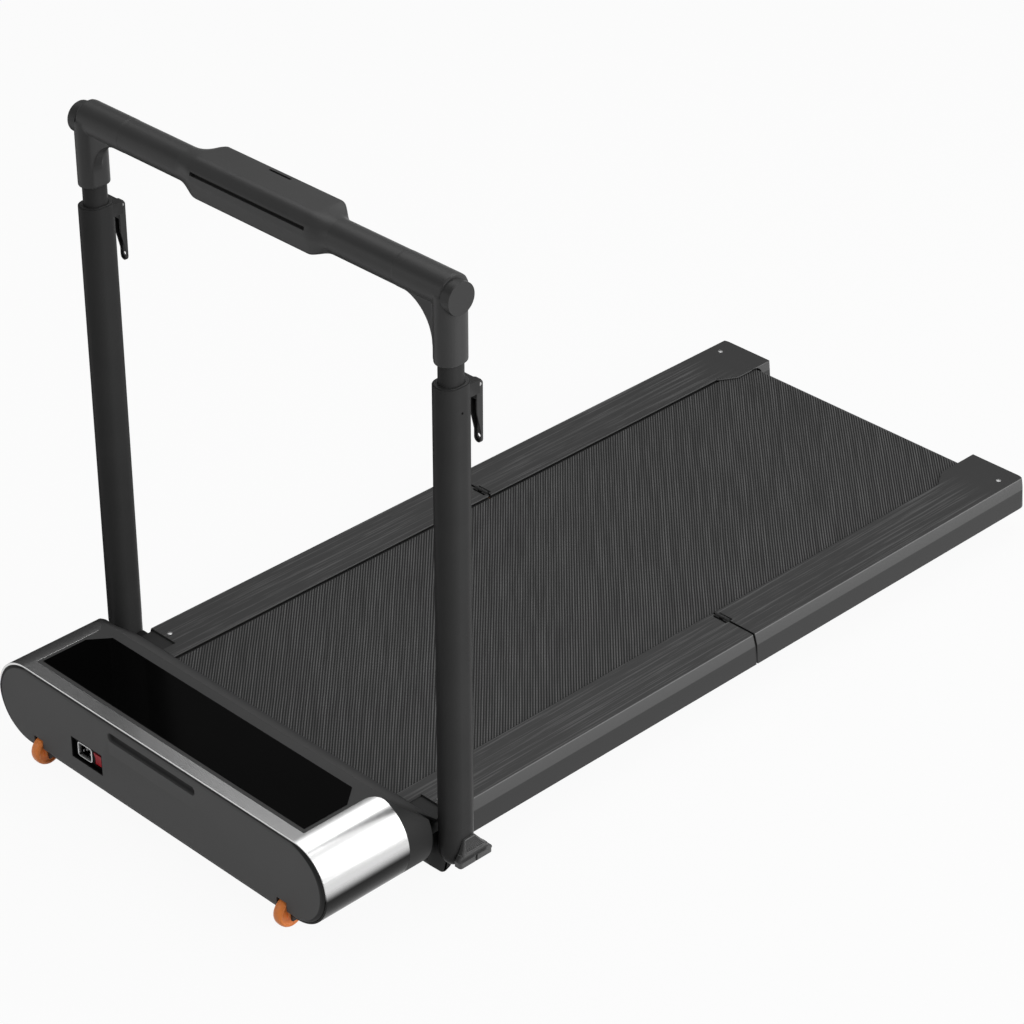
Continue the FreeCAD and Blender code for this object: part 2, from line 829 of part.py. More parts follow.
front_shell = prism("front_rail_shell", "y", ("front_rail_start", "front_end"), rail_points)
front_lip = box("front_rail_lip", ("rail_inner", "lip_outer"), ("lip_start", "front_rail_start + overrun"),
                ("rail_under", "rail_top"))
front_rail = node(cut("front_rail_right", fuse("front_rail_whole", front_shell, front_lip),
                      hinge_notch("front_notch", ("front_end - notch_reach", "front_end + overrun")),
                      front_screw_hole))
node(mirror("front_rail_left", front_rail))

rear_shell = prism("rear_rail_shell", "y", ("rear_start", "rear_end"), rail_points)
end_block = prism("end_block", "x", ("ear_inner", "skirt_outer - rail_wall"), [
    ("rear_end - rear_draft - end_wall", "skirt_bottom"),
    ("rear_end - rear_draft - end_wall", "rail_top"),
    ("rear_end", "rail_top"),
    ("rear_end", "skirt_bottom"),
])
inside_block = common("inside_block", end_block, prism("block_limit", "y", ("ear_full", "rear_end"), [
    ("ear_inner", "rail_top"),
    ("rail_outer - rail_wall", "rail_top"),
    ("band_outer - rail_wall", "band_bottom"),
    ("skirt_outer - rail_wall", "skirt_bottom"),
    ("ear_inner", "skirt_bottom"),
]))
ear = prism("ear", "z", ("rail_under", "rail_top"), [
    ("rail_inner + overrun", "ear_start"),
    ("rail_inner", "ear_start", "ear_round"),
    ("ear_inner", "ear_full", "ear_round"),
    ("ear_inner", "rear_end"),
    ("rail_inner + overrun", "rear_end"),
])
end_limit = prism("end_limit", "x", ("ear_inner", "skirt_outer"), [
    ("rear_start", "skirt_bottom"),
    ("rear_start", "rail_top"),
    ("rear_end - rear_draft", "rail_top"),
    ("rear_end", "skirt_bottom"),
])


def outer_end_edge(edge):
    """The leaning edge between a rail's outer side and its rear end."""
    corners = [corner.Point for corner in edge.Vertexes]
    return all(point.x > value("rail_outer") and point.y > value("ear_full") for point in corners)


end_rounded = soften("end_rounded", end_limit, "end_round", outer_end_edge)
arch = rod("arch", "x", ("ear_inner - overrun", "rail_inner + overrun"), "belt_outer + arch_gap",
           y="idler_y", z="roller_z")
rear_screw_hole = rod("rear_screw_hole", "z", ("rail_under - overrun", "rail_top + overrun"),
                      "screw_radius + pin_play", x="rear_screw_x", y="rear_screw_y")
tension_x = "tube_inner - roller_plate_thick / 2"
tension_hole = rod("tension_hole", "y", ("ear_full", "rear_end + overrun"), "tension_radius + running_gap",
                   x=tension_x, z="roller_z")
tension_sink = rod("tension_sink", "y", ("tension_head_y", "rear_end + overrun"),
                   "tension_head_radius + running_gap",
                   x=tension_x, z="roller_z")
rear_rail = node(cut("rear_rail_right",
                     common("rear_rail_trimmed", fuse("rear_rail_whole", rear_shell, inside_block, ear),
                            end_rounded),
                     arch, rear_screw_hole, tension_hole, tension_sink,
                     hinge_notch("rear_notch", ("rear_start - overrun", "rear_start + notch_reach"))))
node(mirror("rear_rail_left", rear_rail))

# steel frame, deck boards and feet

def side_tube(name, y):
    """A square steel tube under one edge of the deck."""
    outside = box(name + "_outside", ("tube_inner", "tube_outer"), y, ("tube_low", "deck_bottom"))
    inside = box(name + "_inside", ("tube_inner + tube_wall", "tube_outer - tube_wall"),
                 (f"{y[0]} - overrun", f"{y[1]} + overrun"),
                 ("tube_low + tube_wall", "deck_bottom - tube_wall"))
    return cut(name, outside, inside)


def member(name, y):
    """A cross member between the side tubes, inside the loop of the belt."""
    return box(name, across("tube_inner"), about(y, "member_width / 2"), ("member_low", "deck_bottom"))


def foot(name, y):
    """A rubber foot under the end of a cross member, beside the belt."""
    return both(name,
                taper(name + "_right", ("0", "member_low"), "foot_tip_radius", "foot_radius", "foot_x", y))


node(both("front_side_tubes", side_tube("front_side_tube", ("front_tube_start", "front_end - tube_end_gap"))))
node(both("rear_side_tubes", side_tube("rear_side_tube", ("rear_start + tube_end_gap", "rear_tube_end"))))
for half in ("front", "rear"):
    rows = [f"{half}_member_{count}" for count in ("first", "second", "third")]
    node(group(f"{half}_cross_members", *[member(f"{half}_{row}_bar", row) for row in rows]))
front_board_start = "drive_y + belt_inner + deck_end_gap"
rear_board_end = "idler_y - belt_inner - deck_end_gap"
node(box("front_deck_board", across("deck_half"), (front_board_start, "front_end"),
         ("deck_bottom", "deck_top")))
node(box("rear_deck_board", across("deck_half"), ("rear_start", rear_board_end), ("deck_bottom", "deck_top")))
tray_foot = taper("tray_foot", ("0", "house_low"), "foot_radius", "tray_foot_radius", "tray_foot_x",
                  "tray_foot_y")
node(group("front_feet", foot("hinge_foot", "front_member_third"), both("tray_feet", tray_foot)))
node(foot("rear_feet", "rear_member_third"))

# walking belt: one half of the loop on each half of the deck

def belt_half_loop(name, roller_y, end):
    """A half of the belt: both runs from the fold, and the turn round a roller."""
    shapes = []
    for layer, radius, past in (("outside", "belt_outer", "0"), ("inside", "belt_inner", "overrun")):
        far = f"{end} + {past}" if end == "front_end" else f"{end} - {past}"
        y = (roller_y, far) if end == "front_end" else (far, roller_y)
        x = across(f"belt_half + {past}")
        run = box(f"{name}_{layer}_run", x, y, about("roller_z", radius))
        turn = rod(f"{name}_{layer}_turn", "x", x, radius, y=roller_y, z="roller_z")
        shapes.append(fuse(f"{name}_{layer}", run, turn))
    return cut(name, *shapes)


node(belt_half_loop("front_belt", "drive_y", "front_end"))
node(belt_half_loop("rear_belt", "idler_y", "rear_start"))

# fold hinge: two knuckles and the pin on the front leaf, one knuckle on the rear leaf

step = "(knuckle_length + running_gap)"
knuckle_spans = [(f"hinge_x + {n} * {step}", f"hinge_x + {n} * {step} + knuckle_length") for n in range(3)]
leaf_z = ("rail_under - leaf_thick", "rail_under")
leaf_x = ("hinge_x", "hinge_x + leaf_width")


def knuckles(name, riser_y, spans):
    """Round knuckles on the fold line, each on a riser from its leaf."""
    pieces = []
    for count, span in enumerate(spans):
        pieces.append(rod(f"{name}_{count}", "x", span, "knuckle_radius", y="hinge_y", z="hinge_z"))
        pieces.append(box(f"{name}_riser_{count}", span, riser_y, (leaf_z[0], "hinge_z")))
    return pieces


front_leaf = box("front_leaf", leaf_x, ("front_end - leaf_reach", "front_end"), leaf_z)
rear_leaf = box("rear_leaf", leaf_x, ("rear_start", "rear_start + leaf_reach"), leaf_z)
hinge_pin = rod("hinge_pin", "x", leaf_x, "hinge_pin_radius", y="hinge_y", z="hinge_z")
pin_bore = rod("pin_bore", "x", ("hinge_x - overrun", "hinge_x + leaf_width + overrun"),
               "hinge_pin_radius + pin_play", y="hinge_y", z="hinge_z")
front_knuckles = knuckles("front_knuckle", ("front_end - riser_thick", "front_end"), knuckle_spans[::2])
rear_knuckles = knuckles("rear_knuckle", ("rear_start", "rear_start + riser_thick"), knuckle_spans[1:2])
node(both("hinge_front_leaves", fuse("hinge_front_leaf", front_leaf, hinge_pin, *front_knuckles)))
node(both("hinge_rear_leaves",
          cut("hinge_rear_leaf", fuse("rear_leaf_whole", rear_leaf, *rear_knuckles), pin_bore)))

# drive: motor, pulleys, belt and roller

plate_x = ("roller_plate_in", "tube_inner")
roller_plate = prism("roller_plate_blank", "x", plate_x, [
    ("roller_plate_front", "floor_top"),
    ("roller_plate_front", "roller_z + roller_plate_rise"),
    ("roller_plate_shelf", "roller_z + roller_plate_rise"),
    ("roller_plate_shelf", "deck_bottom"),
    ("roller_plate_rear", "deck_bottom"),
    ("roller_plate_rear", "tube_low"),
    ("shoulder_side_end - overrun", "tube_low"),
    ("shoulder_side_end - overrun", "floor_top"),
])
past_plate = ("roller_plate_in - overrun", "tube_inner + overrun")
bearing_seat = rod("bearing_seat", "x", past_plate, "bearing_radius", y="drive_y", z="roller_z")
node(both("roller_plates", cut("roller_plate", roller_plate, bearing_seat)))
bearing_ring = rod("bearing_ring", "x", plate_x, "bearing_radius", y="drive_y", z="roller_z")
bearing_bore = rod("bearing_bore", "x", past_plate, "shaft_radius + pin_play", y="drive_y", z="roller_z")
node(both("drive_bearings", cut("drive_bearing", bearing_ring, bearing_bore)))

shaft = rod("shaft", "x", across("tube_inner + shaft_over"), "shaft_radius", y="drive_y", z="roller_z")
drum = rod("drum", "x", across("roller_half"), "roller_radius", y="drive_y", z="roller_z")
node(fuse("drive_roller", drum, shaft))
pulley_x = ("pulley_left", "pulley_right")
pulley_disc = rod("pulley_disc", "x", pulley_x, "pulley_radius", y="drive_y", z="roller_z")
pulley_bore = rod("pulley_bore", "x", ("pulley_left - overrun", "pulley_right + overrun"), "shaft_radius",
                  y="drive_y", z="roller_z")
node(cut("drive_pulley", pulley_disc, pulley_bore))

motor_can = rod("motor_can", "x", ("motor_left", "motor_right"), "motor_radius", y="motor_y", z="motor_z")
motor_foot = box("motor_foot", ("motor_left + motor_foot_margin", "motor_right - motor_foot_margin"),
                 about("motor_y", "motor_foot_half"), ("floor_top", "motor_z"))
motor_bore = rod("motor_bore", "x", ("motor_right - motor_shaft_depth", "motor_right + overrun"),
                 "motor_shaft_radius + pin_play", y="motor_y", z="motor_z")
node(cut("drive_motor", fuse("motor_whole", motor_can, motor_foot), motor_bore))
motor_shaft = rod("motor_shaft", "x", ("motor_right - motor_shaft_depth + shaft_over", "pulley_right"),
                  "motor_shaft_radius", y="motor_y", z="motor_z")
motor_rim = rod("motor_rim", "x", pulley_x, "motor_pulley_radius", y="motor_y", z="motor_z")
node(fuse("motor_pulley", motor_shaft, motor_rim))


def pulley_loop(offset):
    """The face inside a band that passes round both pulleys, as far from them as offset."""
    left = value("pulley_left") + value("drive_belt_margin")
    large_middle = V(left, value("drive_y"), value("roller_z"))
    small_middle = V(left, value("motor_y"), value("motor_z"))
    large = value("pulley_radius") + offset
    small = value("motor_pulley_radius") + offset
    line = small_middle - large_middle
    heading = math.atan2(line.z, line.y)
    lean = math.acos((large - small) / line.Length)

    def rim(middle, radius, turn):
        return middle + V(0, radius * math.cos(turn), radius * math.sin(turn))

    large_ends = [rim(large_middle, large, heading + side * lean) for side in (1, -1)]
    small_ends = [rim(small_middle, small, heading + side * lean) for side in (1, -1)]
    edges = [
        Part.Arc(large_ends[0], rim(large_middle, large, heading + math.pi), large_ends[1]),
        Part.LineSegment(large_ends[1], small_ends[1]),
        Part.Arc(small_ends[1], rim(small_middle, small, heading), small_ends[0]),
        Part.LineSegment(small_ends[0], large_ends[0]),
    ]
    return Part.Face(Part.Wire([edge.toShape() for edge in edges]))


band_width = V(value("pulley_width") - 2 * value("drive_belt_margin"), 0, 0)
band_inside = pulley_loop(value("drive_belt_gap"))
band_outside = pulley_loop(value("drive_belt_gap") + value("drive_belt_thick"))
drive_belt = doc.addObject("Part::Feature", "drive_belt")
drive_belt.Shape = band_outside.cut(band_inside).extrude(band_width)
node(drive_belt)

control_sheet = box("control_sheet", ("control_left", "control_right"), ("control_front", "control_rear"),
                    ("control_low", "control_low + board_thick"))
control_parts = [control_sheet]
for column, x in (("left", "control_left + standoff_inset"), ("right", "control_right - standoff_inset")):
    for row, y in (("front", "control_front + standoff_inset"), ("rear", "control_rear - standoff_inset")):
        control_parts.append(rod(f"standoff_{column}_{row}", "z", ("floor_top", "control_low"),
                                 "standoff_radius",
                                 x=x, y=y))
    can_x = f"{x} + 2 * capacitor_radius" if column == "left" else f"{x} - 2 * capacitor_radius"
    control_parts.append(rod(f"capacitor_{column}", "z",
                             ("control_low", "control_low + board_thick + capacitor_height"),
                             "capacitor_radius",
                             x=can_x, y="(control_front + control_rear) / 2"))
node(fuse("control_board", *control_parts))

# idler roller at the rear, on a fixed axle that the tension screws pull back

idler_plate = prism("idler_plate_blank", "x", plate_x, [
    ("idler_plate_front", "tube_low"),
    ("idler_plate_front", "deck_bottom"),
    ("idler_plate_shelf", "deck_bottom"),
    ("idler_plate_shelf", "roller_z + idler_plate_rise"),
    ("idler_plate_rear", "roller_z + idler_plate_rise"),
    ("idler_plate_rear", "tube_low"),
])
axle_seat = rod("axle_seat", "x", past_plate, "idler_axle_radius", y="idler_y", z="roller_z")
node(both("idler_plates", cut("idler_plate", idler_plate, axle_seat)))
node(rod("idler_axle", "x", across("tube_inner"), "idler_axle_radius", y="idler_y", z="roller_z"))
idler_drum = rod("idler_drum", "x", across("roller_half"), "roller_radius", y="idler_y", z="roller_z")
idler_bore = rod("idler_bore", "x", across("roller_half + overrun"), "idler_axle_radius + pin_play",
                 y="idler_y", z="roller_z")
idler_hollow = cut("idler_hollow",
                   rod("idler_room", "x", across("roller_half - pulley_width"), "roller_radius - idler_wall",
                       y="idler_y", z="roller_z"),
                   rod("idler_core", "x", across("roller_half"), "idler_axle_radius + idler_wall",
                       y="idler_y", z="roller_z"))
node(cut("idler_roller", idler_drum, idler_hollow, idler_bore))
tension_shank = rod("tension_shank", "y", ("idler_plate_rear", "tension_head_y"), "tension_radius",
                    x=tension_x, z="roller_z")
tension_cap = rod("tension_cap", "y", ("tension_head_y", "tension_head_y + tension_head"),
                  "tension_head_radius",
                  x=tension_x, z="roller_z")
node(both("tension_screws", fuse("tension_screw", tension_shank, tension_cap)))

# handrail posts on their pivots

bracket = prism("bracket", "x", ("tube_outer", "bracket_outside"), [
    ("bracket_front", "bracket_top"),
    ("bracket_front", "bracket_low + bracket_nose"),
    ("bracket_front + bracket_nose", "bracket_low", "bracket_round"),
    ("bracket_rear", "bracket_low", "bracket_round"),
    ("bracket_rear", "bracket_top"),
])
stud = rod("stud", "x", ("tube_outer", "knob_stud_end"), "pivot_radius", y="post_y", z="pivot_z")
node(both("post_brackets", fuse("post_bracket", bracket, stud)))
pivot_bore = rod("pivot_bore", "x", ("tube_outer", "knob_outside + overrun"), "pivot_radius + pin_play",
                 y="post_y", z="pivot_z")

post_span = ("post_inside", "post_outside")


def post_section(name, z, half_flat, radius):
    """A length of oval tube or bar on the axis of the right post."""
    return oblong(name, "z", z, "y", half_flat, radius, x="post_x", y="post_y")


foot_drum = rod("foot_drum", "x", post_span, "foot_round", y="post_y", z="pivot_z")
foot_block = box("foot_block", post_span, about("post_y", "post_flat + post_radius"),
                 ("pivot_z", "post_start"))
spigot = post_section("spigot", ("post_start", "post_start + foot_spigot"), "post_flat",
                      "post_radius - post_wall")
node(both("post_feet", cut("post_foot", fuse("foot_whole", foot_drum, foot_block, spigot), pivot_bore)))

post_bar = post_section("post_bar", ("post_start", "post_top"), "post_flat", "post_radius")
post_room = post_section("post_room", ("post_start - overrun", "post_top + overrun"), "post_flat",
                         "post_radius - post_wall")
collar = box("collar", about("post_x", "collar_half"), ("post_y + post_flat", "collar_rear"),
             ("collar_low", "collar_high"))
clamp_lug = prism("clamp_lug", "x", about("lever_x", "lug_half"), [
    ("post_y + post_flat", "clamp_lug_low"),
    ("lever_y + lever_head", "clamp_lug_low", "clamp_lug_round"),
    ("lever_y + lever_head", "clamp_lug_high", "clamp_lug_round"),
    ("post_y + post_flat", "clamp_lug_high"),
])
lever_span = about("lever_x", "lever_half")
clamp_bore = rod("clamp_bore", "x", about("lever_x", "lever_half + overrun"), "clamp_pin_radius + pin_play",
                 y="lever_y", z="lever_z")
stop_hole = rod("stop_hole", "x", ("post_x", "post_outside + overrun"), "post_pin_hole", y="post_y",
                z="post_pin_hole_z")
post_tube = node(cut("post_tube_right", fuse("post_tube_whole", post_bar, collar, clamp_lug), post_room,
                     clamp_bore, stop_hole))
node(mirror("post_tube_left", post_tube))
node(both("clamp_pins", rod("clamp_pin", "x", lever_span, "clamp_pin_radius", y="lever_y", z="lever_z")))

bush_z = ("post_top - bush_height", "post_top + bush_rim")
bush_blank = post_section("bush_blank", bush_z, "post_flat", "post_radius - post_wall")
bush_bore = post_section("bush_bore", ("post_start", "post_top + overrun"), "inner_flat",
                         "inner_radius + running_gap")
node(both("guide_bushes", cut("guide_bush", bush_blank, bush_bore)))

# clamp levers and lock knobs

lever_depth = about("lever_y", "lever_head")
past_lever = about("lever_y", "lever_head + overrun")
lever_side = prism("lever_side", "x", lever_span, [
    (lever_depth[0], "lever_low"),
    (lever_depth[1], "lever_low"),
    (lever_depth[1], "lever_z + lever_head", "lever_head_round"),
    (lever_depth[0], "lever_z + lever_head", "lever_head_round"),
])
lever_front = prism("lever_front", "y", lever_depth, [
    (lever_span[0], "lever_low", "lever_tip_round"),
    (lever_span[1], "lever_low", "lever_tip_round"),
    (lever_span[1], "lever_z + lever_head"),
    (lever_span[0], "lever_z + lever_head"),
])
lever_fork = box("lever_fork", about("lever_x", "lever_fork_half"), past_lever,
                 ("lever_fork_low", "lever_z + lever_head + overrun"))
lever_channel = box("lever_channel", about("lever_x", "lever_channel_half"),
                    (past_lever[0], "lever_y + lever_back"),
                    ("lever_channel_low", "lever_fork_low + overrun"))
lever_eye = rod("lever_eye", "y", past_lever, "lever_hole", x="lever_x", z="lever_hole_z")
lever = node(cut("clamp_lever_right", common("lever_blank", lever_side, lever_front), lever_fork,
                 lever_channel,
                 lever_eye, clamp_bore))
node(mirror("clamp_lever_left", lever))

knob_hub = rod("knob_hub_drum", "x", ("knob_inside", "knob_inside + knob_hub"), "knob_hub_radius", y="post_y",
               z="pivot_z")
knob_fan = prism("knob_fan_blade", "x", ("knob_inside", "knob_inside + knob_fan"), [
    ("knob_fan_front", "knob_fan_low - knob_fan"),
    ("knob_fan_front", "knob_fan_low"),
    ("knob_crest_front", "knob_fan_high", "knob_fan_round"),
    ("knob_crest_rear", "knob_fan_high", "knob_fan_round"),
    ("knob_fan_rear", "knob_fan_low"),
    ("knob_fan_rear", "knob_fan_low - knob_fan"),
])


def knob_edge(name, x, spread, fall):
    """A section of the knob's plate, which widens and falls towards its outer edge."""
    y = (f"knob_fan_front - ({spread})", f"knob_fan_rear + ({spread})")
    z = (f"knob_fan_low - knob_plate_thick - ({fall})", f"knob_fan_low - ({fall})")
    return section(name, x, [(y[0], z[0]), (y[1], z[0]), (y[1], z[1]), (y[0], z[1])])


knob_plate = loft("knob_plate", knob_edge("knob_root", "knob_inside", "0", "0"),
                  knob_edge("knob_rim", "knob_outside", "knob_plate_spread", "knob_plate_fall"))
stud_room = rod("stud_room", "x", ("tube_outer", "knob_stud_end + running_gap"), "pivot_radius + pin_play",
                y="post_y", z="pivot_z")
knob = node(cut("lock_knob_right", fuse("knob_whole", knob_hub, knob_fan, knob_plate), stud_room))
node(mirror("lock_knob_left", knob))

# telescopic handle

inner_z = ("inner_bottom", "socket_bottom + socket_seat")
inner_bar = post_section("inner_bar", inner_z, "inner_flat", "inner_radius")
inner_room = post_section("inner_room", ("inner_bottom - overrun", "bar_z"), "inner_flat",
                          "inner_radius - inner_wall")
node(both("inner_tubes", cut("inner_tube", inner_bar, inner_room)))

socket_bar = post_section("socket_bar", ("socket_bottom", "bar_z"), "socket_flat", "socket_radius")
elbow_boss = rod("elbow_boss", "x", ("bar_half", "elbow_end"), "bar_radius", y="bar_y", z="bar_z")
web_block = box("web_block", ("gusset_x", "post_x"), ("gusset_front", "post_y"), ("gusset_z", "bar_z"))
web_curve = rod("web_curve", "y", ("gusset_front - overrun", "post_y + overrun"), "gusset_radius",
                x="gusset_x",
                z="gusset_z")
bar_room = rod("bar_room", "x", across("bar_half"), "bar_radius", y="bar_y", z="bar_z")
web = cut("web", web_block, web_curve, bar_room)
web_foot = box("web_foot", ("post_x - socket_radius", "post_x"), ("gusset_front", "post_y"),
               ("socket_bottom", "gusset_z"))
cap = rod("end_cap", "x", ("elbow_end", "elbow_end + cap_thick"), "cap_radius", y="bar_y - cap_offset",
          z="bar_z - cap_offset")
cap_seat = rod("cap_seat", "x", ("elbow_end", "post_outside + overrun"), "cap_radius", y="bar_y - cap_offset",
               z="bar_z - cap_offset")
node(both("end_caps", cap))
node(both("elbows",
          cut("elbow", fuse("elbow_whole", socket_bar, elbow_boss, web, web_foot), inner_bar, cap_seat)))
bar_hollow = rod("bar_hollow", "x", across("bar_half + overrun"), "bar_radius - bar_wall", y="bar_y",
                 z="bar_z")
bar_solid = rod("bar_solid", "x", across("bar_half"), "bar_radius", y="bar_y", z="bar_z")
node(cut("handlebar", bar_solid, bar_hollow))

# console on the middle of the bar, with its panel of keys facing the walker

console_points = [
    ("bar_y - console_chin", "bar_z - console_low"),
    ("bar_y - console_front", "bar_z - slot_z / 2"),
    ("bar_y - console_front", "bar_z + slot_z + slot_height / 2"),
    ("bar_y - console_front / 2", "bar_z + console_top"),
    ("bar_y + console_front / 3", "bar_z + console_top"),
    ("bar_y + console_rear", "bar_z + bar_radius"),
    ("bar_y + console_rear", "bar_z"),
    ("bar_y + console_rear", "bar_z - console_rear_low"),
    ("bar_y + console_chin", "bar_z - console_low"),
    ("bar_y", "bar_z - console_low"),
]
# turns at which the end of a flare meets the bar, as shares of a full turn
flare_turn_shares = (0.645, 0.53, 0.43, 0.33, 0.195, 0.09, 0.0, 0.915, 0.835, 0.74)
flare_points = [(f"bar_y + flare_radius * cos({360 * share} deg)",
                 f"bar_z + flare_radius * sin({360 * share} deg)")
                for share in flare_turn_shares]


flare = loft("flare", section("flare_root", "console_half", console_points),
             section("flare_tip", "console_half + console_flare", flare_points))
console_block = prism("console_block", "x", across("console_half"), console_points)
console_whole = fuse("console_whole", console_block, flare, mirror("flare_left", flare))
console_room = rod("console_room", "x", across("bar_half"), "bar_radius", y="bar_y", z="bar_z")
phone_slot = box("phone_slot", across("slot_half"),
                 ("bar_y - console_front - overrun", "bar_y - console_front + slot_depth"),
                 about("bar_z + slot_z", "slot_height / 2"))
key_slot = box("key_slot", across("key_slot_half"), about("bar_y + key_slot_y", "key_slot_width / 2"),
               ("bar_z + bar_radius - key_slot_depth", "bar_z + console_top + overrun"))
panel_z = ("bar_z - panel_low", "bar_z + panel_high")
panel_seat = box("panel_seat", across("panel_half + running_gap"), ("panel_front", "console_back + overrun"),
                 ("bar_z - panel_low - running_gap", "bar_z + panel_high + running_gap"))
cavity_z = ("bar_z - panel_low + cavity_margin", "bar_z + panel_high - cavity_margin")
cavity = box("cavity", across("panel_half - cavity_margin"),
             ("bar_y + cavity_front", "panel_front + overrun"), cavity_z)
node(cut("console_shell", console_whole, console_room, phone_slot, key_slot, panel_seat, cavity))

key_z = "bar_z + (panel_high - panel_low) / 2"
key_names = {"minus_button": "-button_pitch", "start_button": "0", "plus_button": "button_pitch"}
key_holes = [rod(name + "_hole", "y", ("panel_front - overrun", "console_back + overrun"),
                 "button_radius + running_gap", x=x, z=key_z) for name, x in key_names.items()]
node(cut("console_panel",
         box("panel_blank", across("panel_half"), ("panel_front", "console_back"), panel_z), *key_holes))
for name, x in key_names.items():
    stem = rod(name + "_stem", "y", ("bar_y + button_back", "console_back + button_proud"),
               "button_radius", x=x, z=key_z)
    flange = rod(name + "_flange", "y",
                 ("panel_front - running_gap - button_flange_thick", "panel_front - running_gap"),
                 "button_radius + button_flange", x=x, z=key_z)
    node(fuse(name, stem, flange))

# screws that hold the ends of the rails

def rail_screw(name, x, y):
    """A round headed screw through the top of a rail."""
    head = rod(name + "_head", "z", ("rail_top", "rail_top + screw_head"), "screw_head_radius", x=x, y=y)
    shank = rod(name + "_shank", "z", ("rail_top - screw_length", "rail_top"), "screw_radius", x=x, y=y)
    return both(name, fuse(name + "_right", head, shank))


node(rail_screw("front_screws", "front_screw_x", "front_screw_y"))
node(rail_screw("rear_screws", "rear_screw_x", "rear_screw_y"))

doc.recompute()
for item in doc.Objects:
    if {"Invalid", "Error"} & set(item.State):
        raise RuntimeError(f"{item.Label} did not build: {item.State}")
for item in NODES:
    if item.Shape.isNull() or not item.Shape.isValid() or not item.Shape.Solids:
        raise RuntimeError(f"{item.Label} has no valid solid")

os.makedirs("parts", exist_ok=True)
for item in NODES:
    item.Shape.exportStep(f"parts/{item.Label}.step")
print(len(NODES), "pieces written")
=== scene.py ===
# %% [markdown]
# # A walking pad, finished for a studio picture
# The pad was drawn as solid parts first, and those parts arrive here with their joints. In this lesson the
# parts get their surfaces: brushed silver, black glass, ribbed belt rubber and satin paint. Pieces whose
# form matters most up close, such as the belt and the console, are built again as meshes.

# %% Load the parts and keep their outer size
import json
import math

import bmesh
import bpy
from mathutils import Matrix, Vector


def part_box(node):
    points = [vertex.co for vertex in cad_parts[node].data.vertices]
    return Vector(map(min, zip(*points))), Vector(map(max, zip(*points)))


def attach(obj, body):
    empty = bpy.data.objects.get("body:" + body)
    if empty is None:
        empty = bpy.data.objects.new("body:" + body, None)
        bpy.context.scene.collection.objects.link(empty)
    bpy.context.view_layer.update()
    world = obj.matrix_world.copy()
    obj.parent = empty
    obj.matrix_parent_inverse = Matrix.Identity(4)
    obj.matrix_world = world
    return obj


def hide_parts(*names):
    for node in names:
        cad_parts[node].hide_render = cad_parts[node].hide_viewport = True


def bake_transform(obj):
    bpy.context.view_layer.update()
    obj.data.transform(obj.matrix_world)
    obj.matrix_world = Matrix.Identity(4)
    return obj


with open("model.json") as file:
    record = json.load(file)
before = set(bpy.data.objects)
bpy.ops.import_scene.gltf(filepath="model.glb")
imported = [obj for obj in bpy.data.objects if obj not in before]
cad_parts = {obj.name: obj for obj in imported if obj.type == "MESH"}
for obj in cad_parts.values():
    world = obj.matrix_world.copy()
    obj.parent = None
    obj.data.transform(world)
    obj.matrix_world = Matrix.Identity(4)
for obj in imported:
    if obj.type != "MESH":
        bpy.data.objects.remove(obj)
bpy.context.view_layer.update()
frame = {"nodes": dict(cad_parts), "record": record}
mm = 0.001

# %% [markdown]
# ## The camera
# A catalogue picture of a long product is taken from well above and from a corner with a long lens, so that
# lines that are parallel stay nearly parallel. The camera stands almost five metres away for that reason.

# %% The camera
scene = bpy.context.scene
scene.view_settings.view_transform = "Standard"
camera = bpy.data.objects.new("camera", bpy.data.cameras.new("camera"))
scene.collection.objects.link(camera)
camera.location = (2.8701, -2.8993, 2.7119)
camera_target = Vector((0.0221, -0.0819, 0.250))
camera.rotation_euler = (camera_target - camera.location).to_track_quat("-Z", "Y").to_euler()
camera.data.lens = 119.6
camera.data.sensor_width = 36
scene.camera = camera
print("camera distance:", round((camera_target - camera.location).length, 2))

# %% [markdown]
# ## Shader sums that read like sums
# A finish is mostly arithmetic: a place on the part goes in, and a colour or a roughness comes out. The
# class below wraps the output of a node. Adding or multiplying two of these adds a Math node, so a formula
# can be written in one line, and one method makes any other node.

